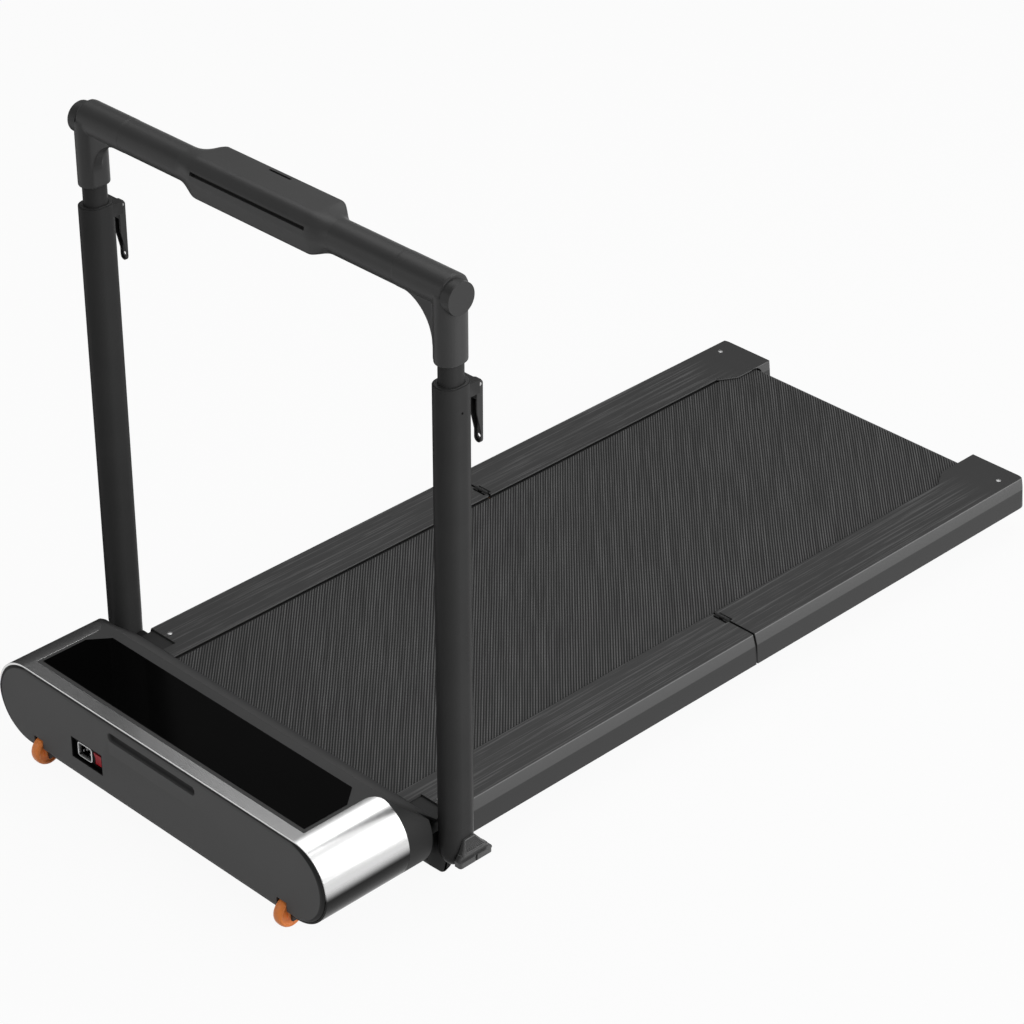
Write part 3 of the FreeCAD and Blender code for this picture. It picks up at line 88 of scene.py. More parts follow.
# %% A wire between shader nodes
class Wire:
    """One output of a shader node, which can be used in sums."""

    def __init__(self, tree, socket):
        self.tree = tree
        self.socket = socket

    def add(self, kind, settings, sockets, out=0):
        """A new node: its settings first, then a value or a wire for each socket."""
        node = self.tree.nodes.new("ShaderNode" + kind)
        for name, setting in settings.items():
            setattr(node, name, setting)
        for key, content in sockets.items():
            if isinstance(content, Wire):
                self.tree.links.new(content.socket, node.inputs[key])
            else:
                node.inputs[key].default_value = content
        return Wire(self.tree, node.outputs[out])

    def maths(self, operation, first, second=0.0):
        return self.add("Math", {"operation": operation}, {0: first, 1: second})

    def __add__(self, other):
        return self.maths("ADD", self, other)

    def __radd__(self, other):
        return self.maths("ADD", other, self)

    def __sub__(self, other):
        return self.maths("SUBTRACT", self, other)

    def __rsub__(self, other):
        return self.maths("SUBTRACT", other, self)

    def __mul__(self, other):
        return self.maths("MULTIPLY", self, other)

    def __rmul__(self, other):
        return self.maths("MULTIPLY", other, self)

    def __truediv__(self, other):
        return self.maths("DIVIDE", self, other)

    def __rtruediv__(self, other):
        return self.maths("DIVIDE", other, self)

    def __pow__(self, other):
        return self.maths("POWER", self, other)

    def wave(self):
        """A saw-tooth of 0 to 1 to 0 for each whole step."""
        return self.maths("PINGPONG", self, 0.5) * 2

    def rise(self, low, high):
        """0 below low, 1 above high, and a smooth rise between them."""
        sockets = {"Value": self, "From Min": low, "From Max": high}
        return self.add("MapRange", {"interpolation_type": "SMOOTHSTEP"}, sockets)

    def mix(self, first, second):
        """The first colour where the wire is 0 and the second where it is 1."""
        return self.add("Mix", {"data_type": "RGBA"}, {0: self, 6: first, 7: second}, out=2)

    def split(self):
        node = self.add("SeparateXYZ", {}, {0: self}).socket.node
        return [Wire(self.tree, output) for output in node.outputs]

    def noise(self, scale, detail=2.0, roughness=0.5):
        """Noise in steps along X, Y and Z, given as counts in a metre."""
        stretched = self.add("VectorMath", {"operation": "MULTIPLY"}, {0: self, 1: scale})
        return self.add("TexNoise", {}, {"Vector": stretched, "Scale": 1.0, "Detail": detail,
                                         "Roughness": roughness})

    def bump(self, strength, height_mm):
        """A normal that follows the wire as a height."""
        return self.add("Bump", {}, {"Height": self, "Strength": strength, "Distance": height_mm * mm})


def grey(level):
    return (level, level, level, 1.0)


materials = {}


def place_of(name):
    """A new finish, and a wire with the place on the part in metres."""
    material = bpy.data.materials.new(name)
    material.use_nodes = True
    materials[name] = material
    tree = material.node_tree
    return Wire(tree, tree.nodes.new("ShaderNodeTexCoord").outputs["Object"])


def finish(name, **sockets):
    """Sets the sockets of a finish's shader. An underscore stands for a space in a socket's name."""
    tree = materials[name].node_tree
    shader = tree.nodes["Principled BSDF"]
    for key, content in sockets.items():
        socket = shader.inputs[key.replace("_", " ")]
        if isinstance(content, Wire):
            tree.links.new(content.socket, socket)
        else:
            socket.default_value = content
    print("finish:", name)


# %% [markdown]
# ## Floor
# The pad stands on a white sweep, a sheet of paper so large that its edge is out of sight. In a studio it is
# lit apart from the product until it is nearly white. Here a share of white glow does that, and the rest is
# plain paper, on which the pad still casts a faint shadow.

# %% The floor
def floor():
    half, white_part = 60.0, 0.94
    data = bpy.data.meshes.new("floor")
    corners = [(-half, -half, 0), (half, -half, 0), (half, half, 0), (-half, half, 0)]
    data.from_pydata(corners, [], [(0, 1, 2, 3)])
    obj = bpy.data.objects.new("floor", data)
    scene.collection.objects.link(obj)
    place = place_of("white_sweep")
    tree = place.tree
    path = tree.nodes.new("ShaderNodeLightPath")
    seen = Wire(tree, path.outputs["Is Camera Ray"])
    mirrored = Wire(tree, path.outputs["Is Glossy Ray"])
    through = Wire(tree, path.outputs["Is Transmission Ray"])
    white_share = seen.maths("MAXIMUM", seen, mirrored.maths("MAXIMUM", mirrored, through)) * white_part
    glow = place.add("Emission", {}, {"Color": grey(1.0), "Strength": 1.0})
    paper = place.add("BsdfDiffuse", {}, {"Color": grey(0.5)})
    both = place.add("MixShader", {}, {0: white_share, 1: paper, 2: glow})
    tree.links.new(both.socket, tree.nodes["Material Output"].inputs["Surface"])
    data.materials.append(materials.pop("white_sweep"))
    print("floor made")


floor()

# %% [markdown]
# ## Lights
# A large soft light at the right and behind makes the bright band on the silver end cap, a second one at
# the right shapes the posts, a weak one fills the front, and one overhead lights the deck. Area lights are
# used, because a large lamp gives soft edges to shadows and reflections.

# %% The lights
def soft_light(name, place, target, width, height, power):
    data = bpy.data.lights.new(name, "AREA")
    data.shape = "RECTANGLE"
    data.size = width
    data.size_y = height
    data.energy = power
    obj = bpy.data.objects.new(name, data)
    obj.location = place
    obj.rotation_euler = (Vector(target) - Vector(place)).to_track_quat("-Z", "Y").to_euler()
    scene.collection.objects.link(obj)
    print("light:", name)


soft_light("right_rear", (2.9, 2.6, 2.0), (0.1, -0.1, 0.9), 3.0, 4.2, 105)
soft_light("right_key", (3.8, -0.3, 2.0), (0, 0, 0.4), 2.0, 2.0, 80)
soft_light("overhead", (-0.8, 0.9, 4.2), (0, 0, 0), 4.5, 3.5, 95)
soft_light("front_fill", (-2.2, -3.8, 1.6), (0, 0, 0.4), 1.6, 1.6, 16)
world = bpy.data.worlds.new("studio")
scene.world = world
world.use_nodes = True
world.node_tree.nodes["Background"].inputs["Color"].default_value = grey(0.27)


# %% [markdown]
# ## Cards
# Shiny metal shows what stands round it, so it needs something dark to mirror as well. Black cards at the
# left give the silver its dark left end, and white cards behind fill its right end, as a photographer would
# do. Only reflections see them, so they cast no shadow and don't show in the picture themselves.

# %% The cards
def upright(left, right, y, foot, top):
    """The corners of a card that stands across the picture."""
    return [(left, y, foot), (right, y, foot), (right, y, top), (left, y, top)]


def card(name, corners, tone, right_tone=None):
    """A flat card that only reflections see. A second tone grades it from left to right."""
    data = bpy.data.meshes.new(name)
    data.from_pydata(corners, [], [(0, 1, 2, 3)])
    sheet = bpy.data.objects.new(name, data)
    scene.collection.objects.link(sheet)
    place = place_of(name)
    colour = grey(tone)
    if right_tone:
        colour = place.split()[0].rise(corners[0][0], corners[1][0]).mix(colour, grey(right_tone))
    glow = place.add("Emission", {}, {"Color": colour, "Strength": 1.0})
    place.tree.links.new(glow.socket, place.tree.nodes["Material Output"].inputs["Surface"])
    data.materials.append(materials.pop(name))
    sheet.visible_camera = sheet.visible_diffuse = sheet.visible_shadow = False
    print("card:", name)


black, white = 0.003, 1.35
lying = [(-3.6, -0.75, 0.002), (-0.42, -0.75, 0.002), (-0.42, 0.75, 0.002), (-3.6, 0.75, 0.002)]
card("black_card", upright(-3.6, -1.85, 0.75, 0, 2.7), black)
card("black_floor", lying, black)
card("graded_card", upright(-2.6, 0.5, 2.25, 2.5, 5.4), 0.2, white)
card("white_card", upright(0.5, 3.2, 2.25, 2.5, 5.4), white)

# %% [markdown]
# ## Silver
# The housing is sprayed with a metallic lacquer over plastic. It mirrors the studio softly, so most of its
# look is the lights. Low on the sides the colour is painted nearly black and the metal fades out, a painted
# reflection of a dark floor. Fine flakes give the faint sparkle of the paint.

# %% Silver housing
def silver():
    place = place_of("silver_cover")
    height = place.split()[2]
    flakes = place.noise((2600, 2600, 2600), detail=1.0)
    # Painted reflection: low on the sides the colour is painted nearly black and loses its metal, standing in
    # for a dark floor mirrored there.
    silver_over_painted_dark = height.rise(86 * mm, 104 * mm)
    tone = silver_over_painted_dark.mix(grey(0.006), grey(0.68))
    speckle = flakes.rise(0.35, 0.7)
    tone = (speckle * silver_over_painted_dark * 0.12).mix(tone, grey(0.8))
    finish("silver_cover", Base_Color=tone, Metallic=silver_over_painted_dark * 0.94, Roughness=0.19 + flakes * 0.06,
           Specular_IOR_Level=0.08)


silver()

# %% [markdown]
# ## Dark mouldings
# Covers, rails and fittings are black plastic with a spark-eroded grain: tiny pits that scatter light and
# turn black into dark grey. One function makes the family, and the grain's size and depth tell the members
# apart.

# %% Grained plastics and paints
def grained(name, tone, roughness, pits, depth, specular=0.5):
    """A dark moulding or coat with fine pits, so many in a metre."""
    place = place_of(name)
    grain = place.noise((pits, pits, pits), detail=2.0)
    cloud = place.noise((22, 22, 22), detail=2.0)
    colour = cloud.mix(grey(tone * 0.9), grey(tone * 1.1))
    normal = grain.bump(depth, 0.05)
    finish(name, Base_Color=colour, Roughness=roughness + grain * 0.08 - 0.04, Normal=normal,
           Specular_IOR_Level=specular)


grained("fitting_black", 0.031, 0.42, 1800, 0.25, 0.2)
grained("console_dark", 0.040, 0.42, 2400, 0.2, 0.25)
grained("grip_dark", 0.036, 0.42, 2400, 0.2, 0.25)
grained("key_dark", 0.05, 0.4, 2600, 0.1)
grained("post_black", 0.036, 0.34, 3000, 0.1, 0.03)
grained("frame_black", 0.011, 0.5, 1500, 0.2, 0.1)
grained("motor_black", 0.02, 0.4, 1500, 0.2)
grained("inlet_black", 0.003, 0.5, 2500, 0.15, 0.05)
grained("dark_screw", 0.022, 0.4, 3000, 0.1, 0.2)
grained("foot_rubber", 0.012, 0.8, 1400, 0.4)
grained("drive_rubber", 0.012, 0.75, 1400, 0.4)

# %% [markdown]
# ## Covers of the housing
# The covers share one plastic. The front plate is the palest. Its rim where it meets the silver is painted
# dark, a painted shade for the groove there, and what lies sunk behind its face gets painted shade too. The
# shoulder has painted shade at its ends and towards the floor. The distance from the middle line of the
# housing tells rim from plate, so no second part is needed for the rim.

# %% Covers of the housing
plate_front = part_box("front_plate")[0].y
plate_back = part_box("shoulder_cover")[0].y
house_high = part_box("upper_cover")[1]
house_radius = 61.5 * mm
house_flat = house_high.x - house_radius
house_middle = house_high.z - house_radius


def covers():
    """The front plate is the lightest, with painted shade on its rim and behind its face. The shoulder has
    painted shade towards the floor and at its ends.
    """
    place = place_of("dark_cover")
    across, along, height = place.split()
    grain = place.noise((2200, 2200, 2200))
    cloud = place.noise((14, 14, 14), detail=3.0)
    past_end = across.maths("MAXIMUM", across.maths("ABSOLUTE", across) - house_flat, 0.0)
    rise = height - house_middle
    rim = (past_end * past_end + rise * rise) ** 0.5
    # Painted shade: the rim of the plate, where it rounds off towards the silver, is painted near black for
    # the groove there.
    edge = rim.rise(house_radius - 5 * mm, house_radius - 3 * mm)
    plate = edge.mix(cloud.mix(grey(0.090), grey(0.098)), grey(0.006))
    # Painted shade: surfaces sunk a few millimetres behind the plate's face, such as the grip scoop, are
    # painted dark.
    sunk = along.rise(plate_front + 1 * mm, plate_front + 6 * mm)
    plate = sunk.mix(plate, grey(0.014))
    # Painted shade: the shoulder is painted darker towards the floor and at its ends.
    shoulder = height.rise(60 * mm, 130 * mm).mix(grey(0.008), cloud.mix(grey(0.036), grey(0.042)))
    shoulder = past_end.rise(4 * mm, 46 * mm).mix(shoulder, grey(0.010))
    behind = along.rise(plate_back - 30 * mm, plate_back)
    finish("dark_cover", Base_Color=behind.mix(plate, shoulder), Roughness=0.56 + grain * 0.08,
           Normal=grain.bump(0.25, 0.05), Specular_IOR_Level=0.25)


covers()

# %% [markdown]
# ## Side rails
# The rails are extruded and then textured with long broken scratches, like brushed wood, so that shoes
# don't slip. The noise is stretched along the rail: many steps across it and only a few along it.

# %% Rails with long scratches
rail_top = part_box("front_rail_right")[1].z
rail_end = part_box("rear_rail_right")[1].y
fold_line = (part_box("front_rail_right")[1].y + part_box("rear_rail_right")[0].y) / 2
band_foot = 70.3 * mm


def rails():
    place = place_of("rail_dark")
    long_marks = place.noise((420, 4, 420), detail=3.0, roughness=0.65)
    short_marks = place.noise((620, 16, 620), detail=2.0)
    _, along, height = place.split()
    tread = height.rise(rail_top - 0.9 * mm, rail_top - 0.3 * mm)
    painted_lit_band = height.rise(band_foot - 0.8 * mm, band_foot + 0.8 * mm)
    edge = height.rise(rail_top - 2.2 * mm, rail_top - 1.2 * mm)
    plain_end = along.rise(rail_end - 130 * mm, rail_end - 60 * mm)
    marks = long_marks.rise(0.53, 0.62) * 0.7 + short_marks.rise(0.60, 0.70) * 0.35
    marks = marks * tread * (1 - plain_end)
    # Painted light: the side above the band foot is painted lighter, as if lit from the right, than the skirt
    # below it, and a painted highlight line runs just under the tread.
    side = edge.mix(painted_lit_band.mix(grey(0.016), grey(0.060)), grey(0.13))
    colour = tread.mix(side, marks.mix(grey(0.022), grey(0.078)))
    # Painted shade: near the fold line the rail ends are painted black, the shadow in the gap between the two
    # halves.
    outside_gap_shade = along.maths("ABSOLUTE", along - fold_line).rise(1.7 * mm, 3.0 * mm)
    colour = outside_gap_shade.mix(grey(0.0), colour)
    grain = place.noise((2000, 2000, 2000))
    finish("rail_dark", Base_Color=colour, Roughness=0.36 + tread * 0.14 + grain * 0.06,
           Normal=(grain + marks * 2).bump(0.25, 0.06), Specular_IOR_Level=0.4)


rails()

# %% [markdown]
# ## Glass
# The display is a pane of black glass. Nothing behind it is lit, so it is nearly pure black with a weak
# reflection.

# %% Display glass
def glass():
    place = place_of("display_glass")
    smear = place.noise((9, 16, 9), detail=3.0)
    finish("display_glass", Base_Color=smear.mix(grey(0.0012), grey(0.002)), Roughness=0.05 + smear * 0.06,
           Specular_IOR_Level=0.05)


glass()

# %% [markdown]
# ## Small bright colours
# The transport wheels are orange nylon and the rocker is red. Both are moulded smooth, so they get a soft
# shine. The circuit boards inside take the same finish in green.

# %% Orange and red plastics
def tinted(name, colour, roughness, shift, specular=0.4):
    """A smooth coloured plastic that is a little deeper in places."""
    place = place_of(name)
    cloud = place.noise((60, 60, 60), detail=2.0)
    deep = tuple(part * (1 - shift) for part in colour) + (1.0,)
    finish(name, Base_Color=cloud.mix(deep, colour + (1.0,)), Roughness=roughness + cloud * 0.08,
           Specular_IOR_Level=specular)


tinted("wheel_orange", (1.0, 0.29, 0.06), 0.35, 0.08)
tinted("switch_red", (0.50, 0.004, 0.016), 0.3, 0.3, 0.1)
tinted("circuit_board", (0.01, 0.09, 0.03), 0.4, 0.4)

# %% [markdown]
# ## Steel and wood
# Bare steel keeps the fine rings of the lathe, here as noise with many steps across and few round it. The
# deck is pressed board, whose fibres run along it, under a black film that the belt slides on.

# %% Steel and wood
def steel():
    place = place_of("plain_steel")
    lathe_marks = place.noise((900, 90, 90), detail=2.0)
    finish("plain_steel", Base_Color=lathe_marks.mix(grey(0.42), grey(0.6)), Metallic=1.0,
           Roughness=0.25 + lathe_marks * 0.2)


deck_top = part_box("front_deck_board")[1].z


def deck_wood():
    place = place_of("deck_wood")
    fibres = place.noise((700, 60, 700), detail=4.0)
    board = fibres.mix((0.16, 0.10, 0.055, 1), (0.28, 0.19, 0.11, 1))
    film = place.split()[2].rise(deck_top - 0.5 * mm, deck_top - 0.2 * mm)
    finish("deck_wood", Base_Color=film.mix(board, grey(0.008)), Roughness=0.5)


steel()
deck_wood()

# %% [markdown]
# ## Belt rubber
# The belt is woven cloth under rubber with a pressed tread: two sets of fine grooves that cross at right
# angles and run at 45 degrees to the belt. The mesh carries the length along the loop as its UV map, so the
# tread follows the belt round the rollers.

# %% Belt tread
def belt_rubber():
    place = place_of("belt_rubber")
    run = place.add("UVMap", {"uv_map": "belt_run"}, {})
    across, along, _ = run.split()
    pitch = 3.7 * mm * math.sqrt(2)
    wander = place.noise((7, 7, 7), detail=2.0) * 0.5
    first = ((across + along) / pitch + wander).wave().rise(0.28, 0.8)
    second = ((across - along) / pitch).wave().rise(0.0, 0.6)
    thread = place.add("CombineXYZ", {}, {0: (across + along) * 330, 1: (across - along) * 5})
    streak = thread.noise((1, 1, 1), detail=3.0, roughness=0.6).rise(0.3, 0.7)
    lift = first * (second * 0.45 + 0.55)
    tone = (lift * (streak * 0.6 + 0.4)).mix(grey(0.001), grey(0.100))
    finish("belt_rubber", Base_Color=tone, Roughness=0.6, Normal=lift.bump(0.35, 0.3), Specular_IOR_Level=0.3)


belt_rubber()

# %% [markdown]
# ## Finishes onto the parts
# Each part names the finish it takes, so one loop paints them all. A solid straight from a drawing has
# knife edges, and real edges catch a thin line of light. A narrow bevel follows each edge, after the split
# corners of the drawn mesh are welded together.

# %% Paint and soften the drawn parts
slot_of = {part["node"]: part["material_slot"] for part in frame["record"]["subparts"]}
edge_widths = {
    "front_rail_left": 0.9, "front_rail_right": 0.9, "rear_rail_left": 0.9, "rear_rail_right": 0.9,
    "front_plate": 0.5, "upper_cover": 0.4, "lower_tray": 0.4, "shoulder_cover": 0.8, "display_glass": 0.5,
    "end_caps": 0.8, "guide_bushes": 0.5, "power_inlet": 0.5,
    "power_switch": 0.6, "console_panel": 0.5, "start_button": 0.4, "plus_button": 0.4, "minus_button": 0.4,
    "wheel_housings": 0.6, "post_tube_left": 0.3, "post_tube_right": 0.3, "front_feet": 0.5, "rear_feet": 0.5,
    "drive_motor": 0.6, "idler_plates": 0.5, "roller_plates": 0.5,
}


def soften(obj, width):
    weld = obj.modifiers.new("weld", "WELD")
    weld.merge_threshold = 0.01 * mm
    bevel = obj.modifiers.new("bevel", "BEVEL")
    bevel.width = width * mm
    bevel.segments = 2
    bevel.limit_method = "ANGLE"
    bevel.angle_limit = math.radians(32)
    bevel.use_clamp_overlap = True
    even = obj.modifiers.new("even", "WEIGHTED_NORMAL")
    even.keep_sharp = False


for name, obj in frame["nodes"].items():
    obj.data.materials.clear()
    obj.data.materials.append(materials[slot_of[name]])
    if name in edge_widths:
        soften(obj, edge_widths[name])
print("softened:", len(edge_widths))

# %% [markdown]
# ## Making meshes
# The pieces that follow are built from rings of points. A ring is swept along a line or turned round an
# axis, and neighbouring rings are joined by faces.

# %% Meshes and pieces
def mesh_of(name, points, faces):
    """A mesh whose faces look outwards."""
    data = bpy.data.meshes.new(name)
    data.from_pydata(points, [], faces)
    data.update()
    grown = bmesh.new()
    grown.from_mesh(data)
    bmesh.ops.recalc_face_normals(grown, faces=grown.faces)
    grown.to_mesh(data)
    grown.free()
    return data


def mesh_piece(name, points, faces, slot, body, sharp=35):
    """A piece with a finish that moves with a body."""
    data = mesh_of(name, points, faces)
    data.shade_smooth()
    data.set_sharp_from_angle(angle=math.radians(sharp))
    data.materials.append(materials[slot])
    obj = bpy.data.objects.new(name, data)
    scene.collection.objects.link(obj)
    if body:
        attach(obj, body)
    print("piece:", name, len(points), "points")
    return obj


# %% Rings of points
def joined_rings(rings, closed=False, ends=True):
    """Points and faces through rings of equal count. Closed joins the last ring to the first."""
    count = len(rings[0])
    points = [point for ring in rings for point in ring]
    faces = []
    for row in range(len(rings) if closed else len(rings) - 1):
        here, there = row * count, (row + 1) % len(rings) * count
        for step in range(count):
            after = (step + 1) % count
            faces.append((here + step, here + after, there + after, there + step))
    if ends and not closed:
        faces.append(tuple(reversed(range(count))))
        faces.append(tuple(range(len(points) - count, len(points))))
    return points, faces


def turned(profile, centre, axis, steps=48):
    """Points and faces of an outline of (radius, along) pairs turned round an axis through a centre."""
    direction = Vector(axis)
    side = direction.orthogonal().normalized()
    rings = []
    for step in range(steps):
        spoke = side.copy()
        spoke.rotate(Matrix.Rotation(2 * math.pi * step / steps, 3, direction))
        rings.append([Vector(centre) + spoke * radius + direction * along for radius, along in profile])
    return joined_rings(rings, closed=True)


def combined(*shapes):
    """Several lists of points and faces as one."""
    points, faces = [], []
    for more_points, more_faces in shapes:
        start = len(points)
        points += more_points
        faces += [tuple(corner + start for corner in face) for face in more_faces]
    return points, faces


# %% [markdown]
# ## The belt
# One endless belt runs round both rollers and bends at the fold, although the drawing splits it there. It
# is built as a band with a rounded edge: a section across the belt, swept along the loop. Its rows lie
# close together at the fold.

# %% The loop of the belt
belt_low, belt_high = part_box("front_belt")
rear_low, rear_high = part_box("rear_belt")
fold = rear_low.y - 1.5 * mm
zone = 5 * mm


def half_turn(y, z, radius, start):
    """Places and outward normals half round a roller, from an angle on."""
    found = []
    for step in range(1, 16):
        angle = start - math.pi * step / 16
        normal = (math.cos(angle), math.sin(angle))
        found.append(((y + radius * normal[0], z + radius * normal[1]), normal))
    return found


def belt_loop():
    """Places (y, z) along the belt, each with its outward normal."""
    middle_z = (belt_low.z + belt_high.z) / 2
    reach = (belt_high.z - belt_low.z) / 2
    drive_y = belt_low.y + reach
    idler_y = rear_high.y - reach
    rows, runs = 20, 12
    near_fold = [fold - zone + 2 * zone * step / rows for step in range(rows + 1)]
    forward = [drive_y + (fold - zone - drive_y) * step / runs for step in range(runs)]
    back = [fold + zone + (idler_y - fold - zone) * step / runs for step in range(1, runs + 1)]
    run = forward + near_fold + back
    upper = [((y, middle_z + reach), (0, 1)) for y in run]
    lower = [((y, middle_z - reach), (0, -1)) for y in reversed(run)]
    rear_turn = half_turn(idler_y, middle_z, reach, math.pi / 2)
    return upper + rear_turn + lower + half_turn(drive_y, middle_z, reach, -math.pi / 2)


belt_path = belt_loop()
print("places on the belt:", len(belt_path))


# %% The belt
def belt():
    half, thick, edge = belt_high.x, 1.6 * mm, 0.5 * mm
    section = [(-half, -thick + edge), (-half, -edge), (-half + edge, 0), (-half * 0.33, 0), (half * 0.33, 0),
               (half - edge, 0), (half, -edge), (half, -thick + edge), (half - edge, -thick),
               (-half + edge, -thick)]
    rings = []
    for (y, z), (normal_y, normal_z) in belt_path:
        rings.append([(x, y + sunk * normal_y, z + sunk * normal_z) for x, sunk in section])
    points, faces = joined_rings(rings, closed=True)
    obj = mesh_piece("walking_belt", points, faces, "belt_rubber", None)
    lengths = [0.0]
    for before, after in zip(belt_path, belt_path[1:] + belt_path[:1]):
        lengths.append(lengths[-1] + math.dist(before[0], after[0]))
    uv = obj.data.uv_layers.new(name="belt_run")
    for face in obj.data.polygons:
        rows_here = {obj.data.loops[loop].vertex_index // len(section) for loop in face.loop_indices}
        wraps = max(rows_here) - min(rows_here) > 1
        for loop in face.loop_indices:
            vertex = obj.data.loops[loop].vertex_index
            row = vertex // len(section)
            along = lengths[-1] if wraps and row == 0 else lengths[row]
            uv.data[loop].uv = (obj.data.vertices[vertex].co.x, along)
    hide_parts("front_belt", "rear_belt")
    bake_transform(obj)


belt()

# %% [markdown]
# ## The console
# The console swells out of the handlebar. Its section is a rounded outline round the bar's axis, and at
# both ends each point of that outline glides in to the bar's round, which gives the flares of a moulding.
# The slots are cut with booleans, as a cutter would mill them.

# %% Round outlines
def rounded_outline(corners, steps=8):
    """An outline with each corner (a, b, radius) as an arc between its two tangents."""
    found = []
    for place, (a, b, radius) in enumerate(corners):
        corner = Vector((a, b))
        before = (Vector(corners[place - 1][:2]) - corner).normalized()
        after = (Vector(corners[(place + 1) % len(corners)][:2]) - corner).normalized()
        half_angle = before.angle(after) / 2
        reach = radius / math.tan(half_angle)
        centre = corner + (before + after).normalized() * radius / math.sin(half_angle)
        start, end = corner + before * reach - centre, corner + after * reach - centre
        turn = start.angle_signed(end)
        for step in range(steps + 1):
            spoke = start.copy()
            spoke.rotate(Matrix.Rotation(-turn * step / steps, 2))
            found.append(centre + spoke)
    return found


def reach_at(outline, angle):
    """The distance from the axis to an outline, at an angle."""
    ray = Vector((math.cos(angle), math.sin(angle)))
    best = 0.0
    for start, end in zip(outline, outline[1:] + outline[:1]):
        side = end - start
        across = ray.x * side.y - ray.y * side.x
        if abs(across) < 1e-12:
            continue
        far = (start.x * side.y - start.y * side.x) / across
        share = (start.x * ray.y - start.y * ray.x) / across
        if far > 0 and -1e-6 <= share <= 1 + 1e-6:
            best = max(best, far)
    return best


# %% [markdown]
# ## Cutting
# Slots, bores and seats are taken out of finished forms, as a mill would do it. A boolean modifier makes the
# cut, and its result is kept as the mesh, so that the cutter can go.

# %% Cutting
def block(low, high):
    """Points and faces of a plain cutter."""
    ring = [(low[0], low[1]), (high[0], low[1]), (high[0], high[1]), (low[0], high[1])]
    return joined_rings([[(x, y, low[2]) for x, y in ring], [(x, y, high[2]) for x, y in ring]])


def settle(obj, sharp=35):
    """Makes the modifiers of a piece part of its mesh."""
    bpy.context.view_layer.update()
    settled = bpy.data.meshes.new_from_object(obj.evaluated_get(bpy.context.evaluated_depsgraph_get()))
    obj.modifiers.clear()
    obj.data = settled
    settled.shade_smooth()
    settled.set_sharp_from_angle(angle=math.radians(sharp))


def carve(obj, shapes):
    """Cuts shapes out of a piece for good."""
    points, faces = combined(*shapes)
    data = mesh_of("cutter", points, faces)
    cutter = bpy.data.objects.new("cutter", data)
    scene.collection.objects.link(cutter)
    cut = obj.modifiers.new("cut", "BOOLEAN")
    cut.operation = "DIFFERENCE"
    cut.solver = "EXACT"
    cut.object = cutter
    settle(obj)
    bpy.data.objects.remove(cutter)


# %% The console
bar_low, bar_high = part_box("handlebar")
bar_y, bar_z = (bar_low.y + bar_high.y) / 2, (bar_low.z + bar_high.z) / 2


def console():
    bar_radius = (bar_high.z - bar_low.z) / 2 + 0.1 * mm
    flare = 36 * mm
    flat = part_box("console_shell")[1].x - flare
    corners = [(-22, -29, 4), (-28, -4, 16), (-28, 10.4, 14), (-14, 25, 16), (38, 24, 4), (38, -18, 6),
               (22, -29, 8)]
    outline = rounded_outline([(a * mm, b * mm, radius * mm) for a, b, radius in corners])
    steps = 120
    angles = [2 * math.pi * step / steps for step in range(steps)]
    reaches = [reach_at(outline, angle) for angle in angles]
    stations = [flat + flare * step / 14 for step in range(15)]
    stations = [-x for x in reversed(stations)] + stations
    rings = []
    for x in stations:
        share = max(0.0, (abs(x) - flat) / flare)
        ease = share * share * (3 - 2 * share)
        ring = []
        for angle, reach in zip(angles, reaches):
            radius = reach + (bar_radius - reach) * ease
            ring.append((x, bar_y + radius * math.cos(angle), bar_z + radius * math.sin(angle)))
        rings.append(ring)
    points, faces = joined_rings(rings)
    return mesh_piece("console_moulding", points, faces, "console_dark", "handle")


console_piece = console()

# %% [markdown]
# ## Openings of the console
# A long slot in front takes a phone, and a short one on top takes the safety key. At the rear a shallow seat
# takes the key panel, with room for the stems of the keys behind it. All four are cut at once.

# %% Openings of the console
def console_openings(obj):
    panel_low, panel_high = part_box("console_panel")
    play, ledge = 0.15 * mm, 5 * mm
    long_half, short_half = 106 * mm, 20 * mm
    front, rear = bar_y - 40 * mm, bar_y + 45 * mm
    long_slot = block((-long_half, front, bar_z + 5.6 * mm),
                      (long_half, bar_y - 22.5 * mm, bar_z + 10.4 * mm))
    short_slot = block((-short_half, bar_y + 27.2 * mm, bar_z + 21 * mm),
                       (short_half, bar_y + 30.8 * mm, bar_z + 30 * mm))
    seat = block((panel_low.x - play, panel_low.y - play, panel_low.z - play),
                 (panel_high.x + play, rear, panel_high.z + play))
    room = block((panel_low.x + ledge, bar_y + 24.5 * mm, panel_low.z + ledge),
                 (panel_high.x - ledge, rear, panel_high.z - ledge))
    carve(obj, [long_slot, short_slot, seat, room])
    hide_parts("console_shell")
    print("console openings cut:", len(obj.data.polygons), "faces")


console_openings(console_piece)

# %% [markdown]
# ## Post feet
# Each post runs down past its pivot and ends in a rounded foot. The oval section of the post is repeated
# downwards and shrinks below the pivot like a ball, and a bore takes the stud that the handrail folds on.

# %% Ovals and rods
def oval(x, y, z, flat, radius, steps=14):
    """A ring at a height: two half circles joined by flats along Y."""
    ring = []
    for end in (1, -1):
        for step in range(steps + 1):
            angle = math.pi * step / steps
            ring.append((x + end * radius * math.cos(angle), y + end * (flat + radius * math.sin(angle)), z))
    return ring


def rod(axis, start, end, radius, steps=32):
    """Points and faces of a round cutter or pin from one point to another along an axis."""
    places = [2 * math.pi * step / steps for step in range(steps)]
    rings = []
    for centre in (Vector(start), Vector(end)):
        ring = []
        for angle in places:
            spoke = Vector((radius * math.cos(angle), radius * math.sin(angle)))
            if axis == "x":
                ring.append(centre + Vector((0, spoke.x, spoke.y)))
            else:
                ring.append(centre + Vector((spoke.x, 0, spoke.y)))
        rings.append(ring)
    return joined_rings(rings)


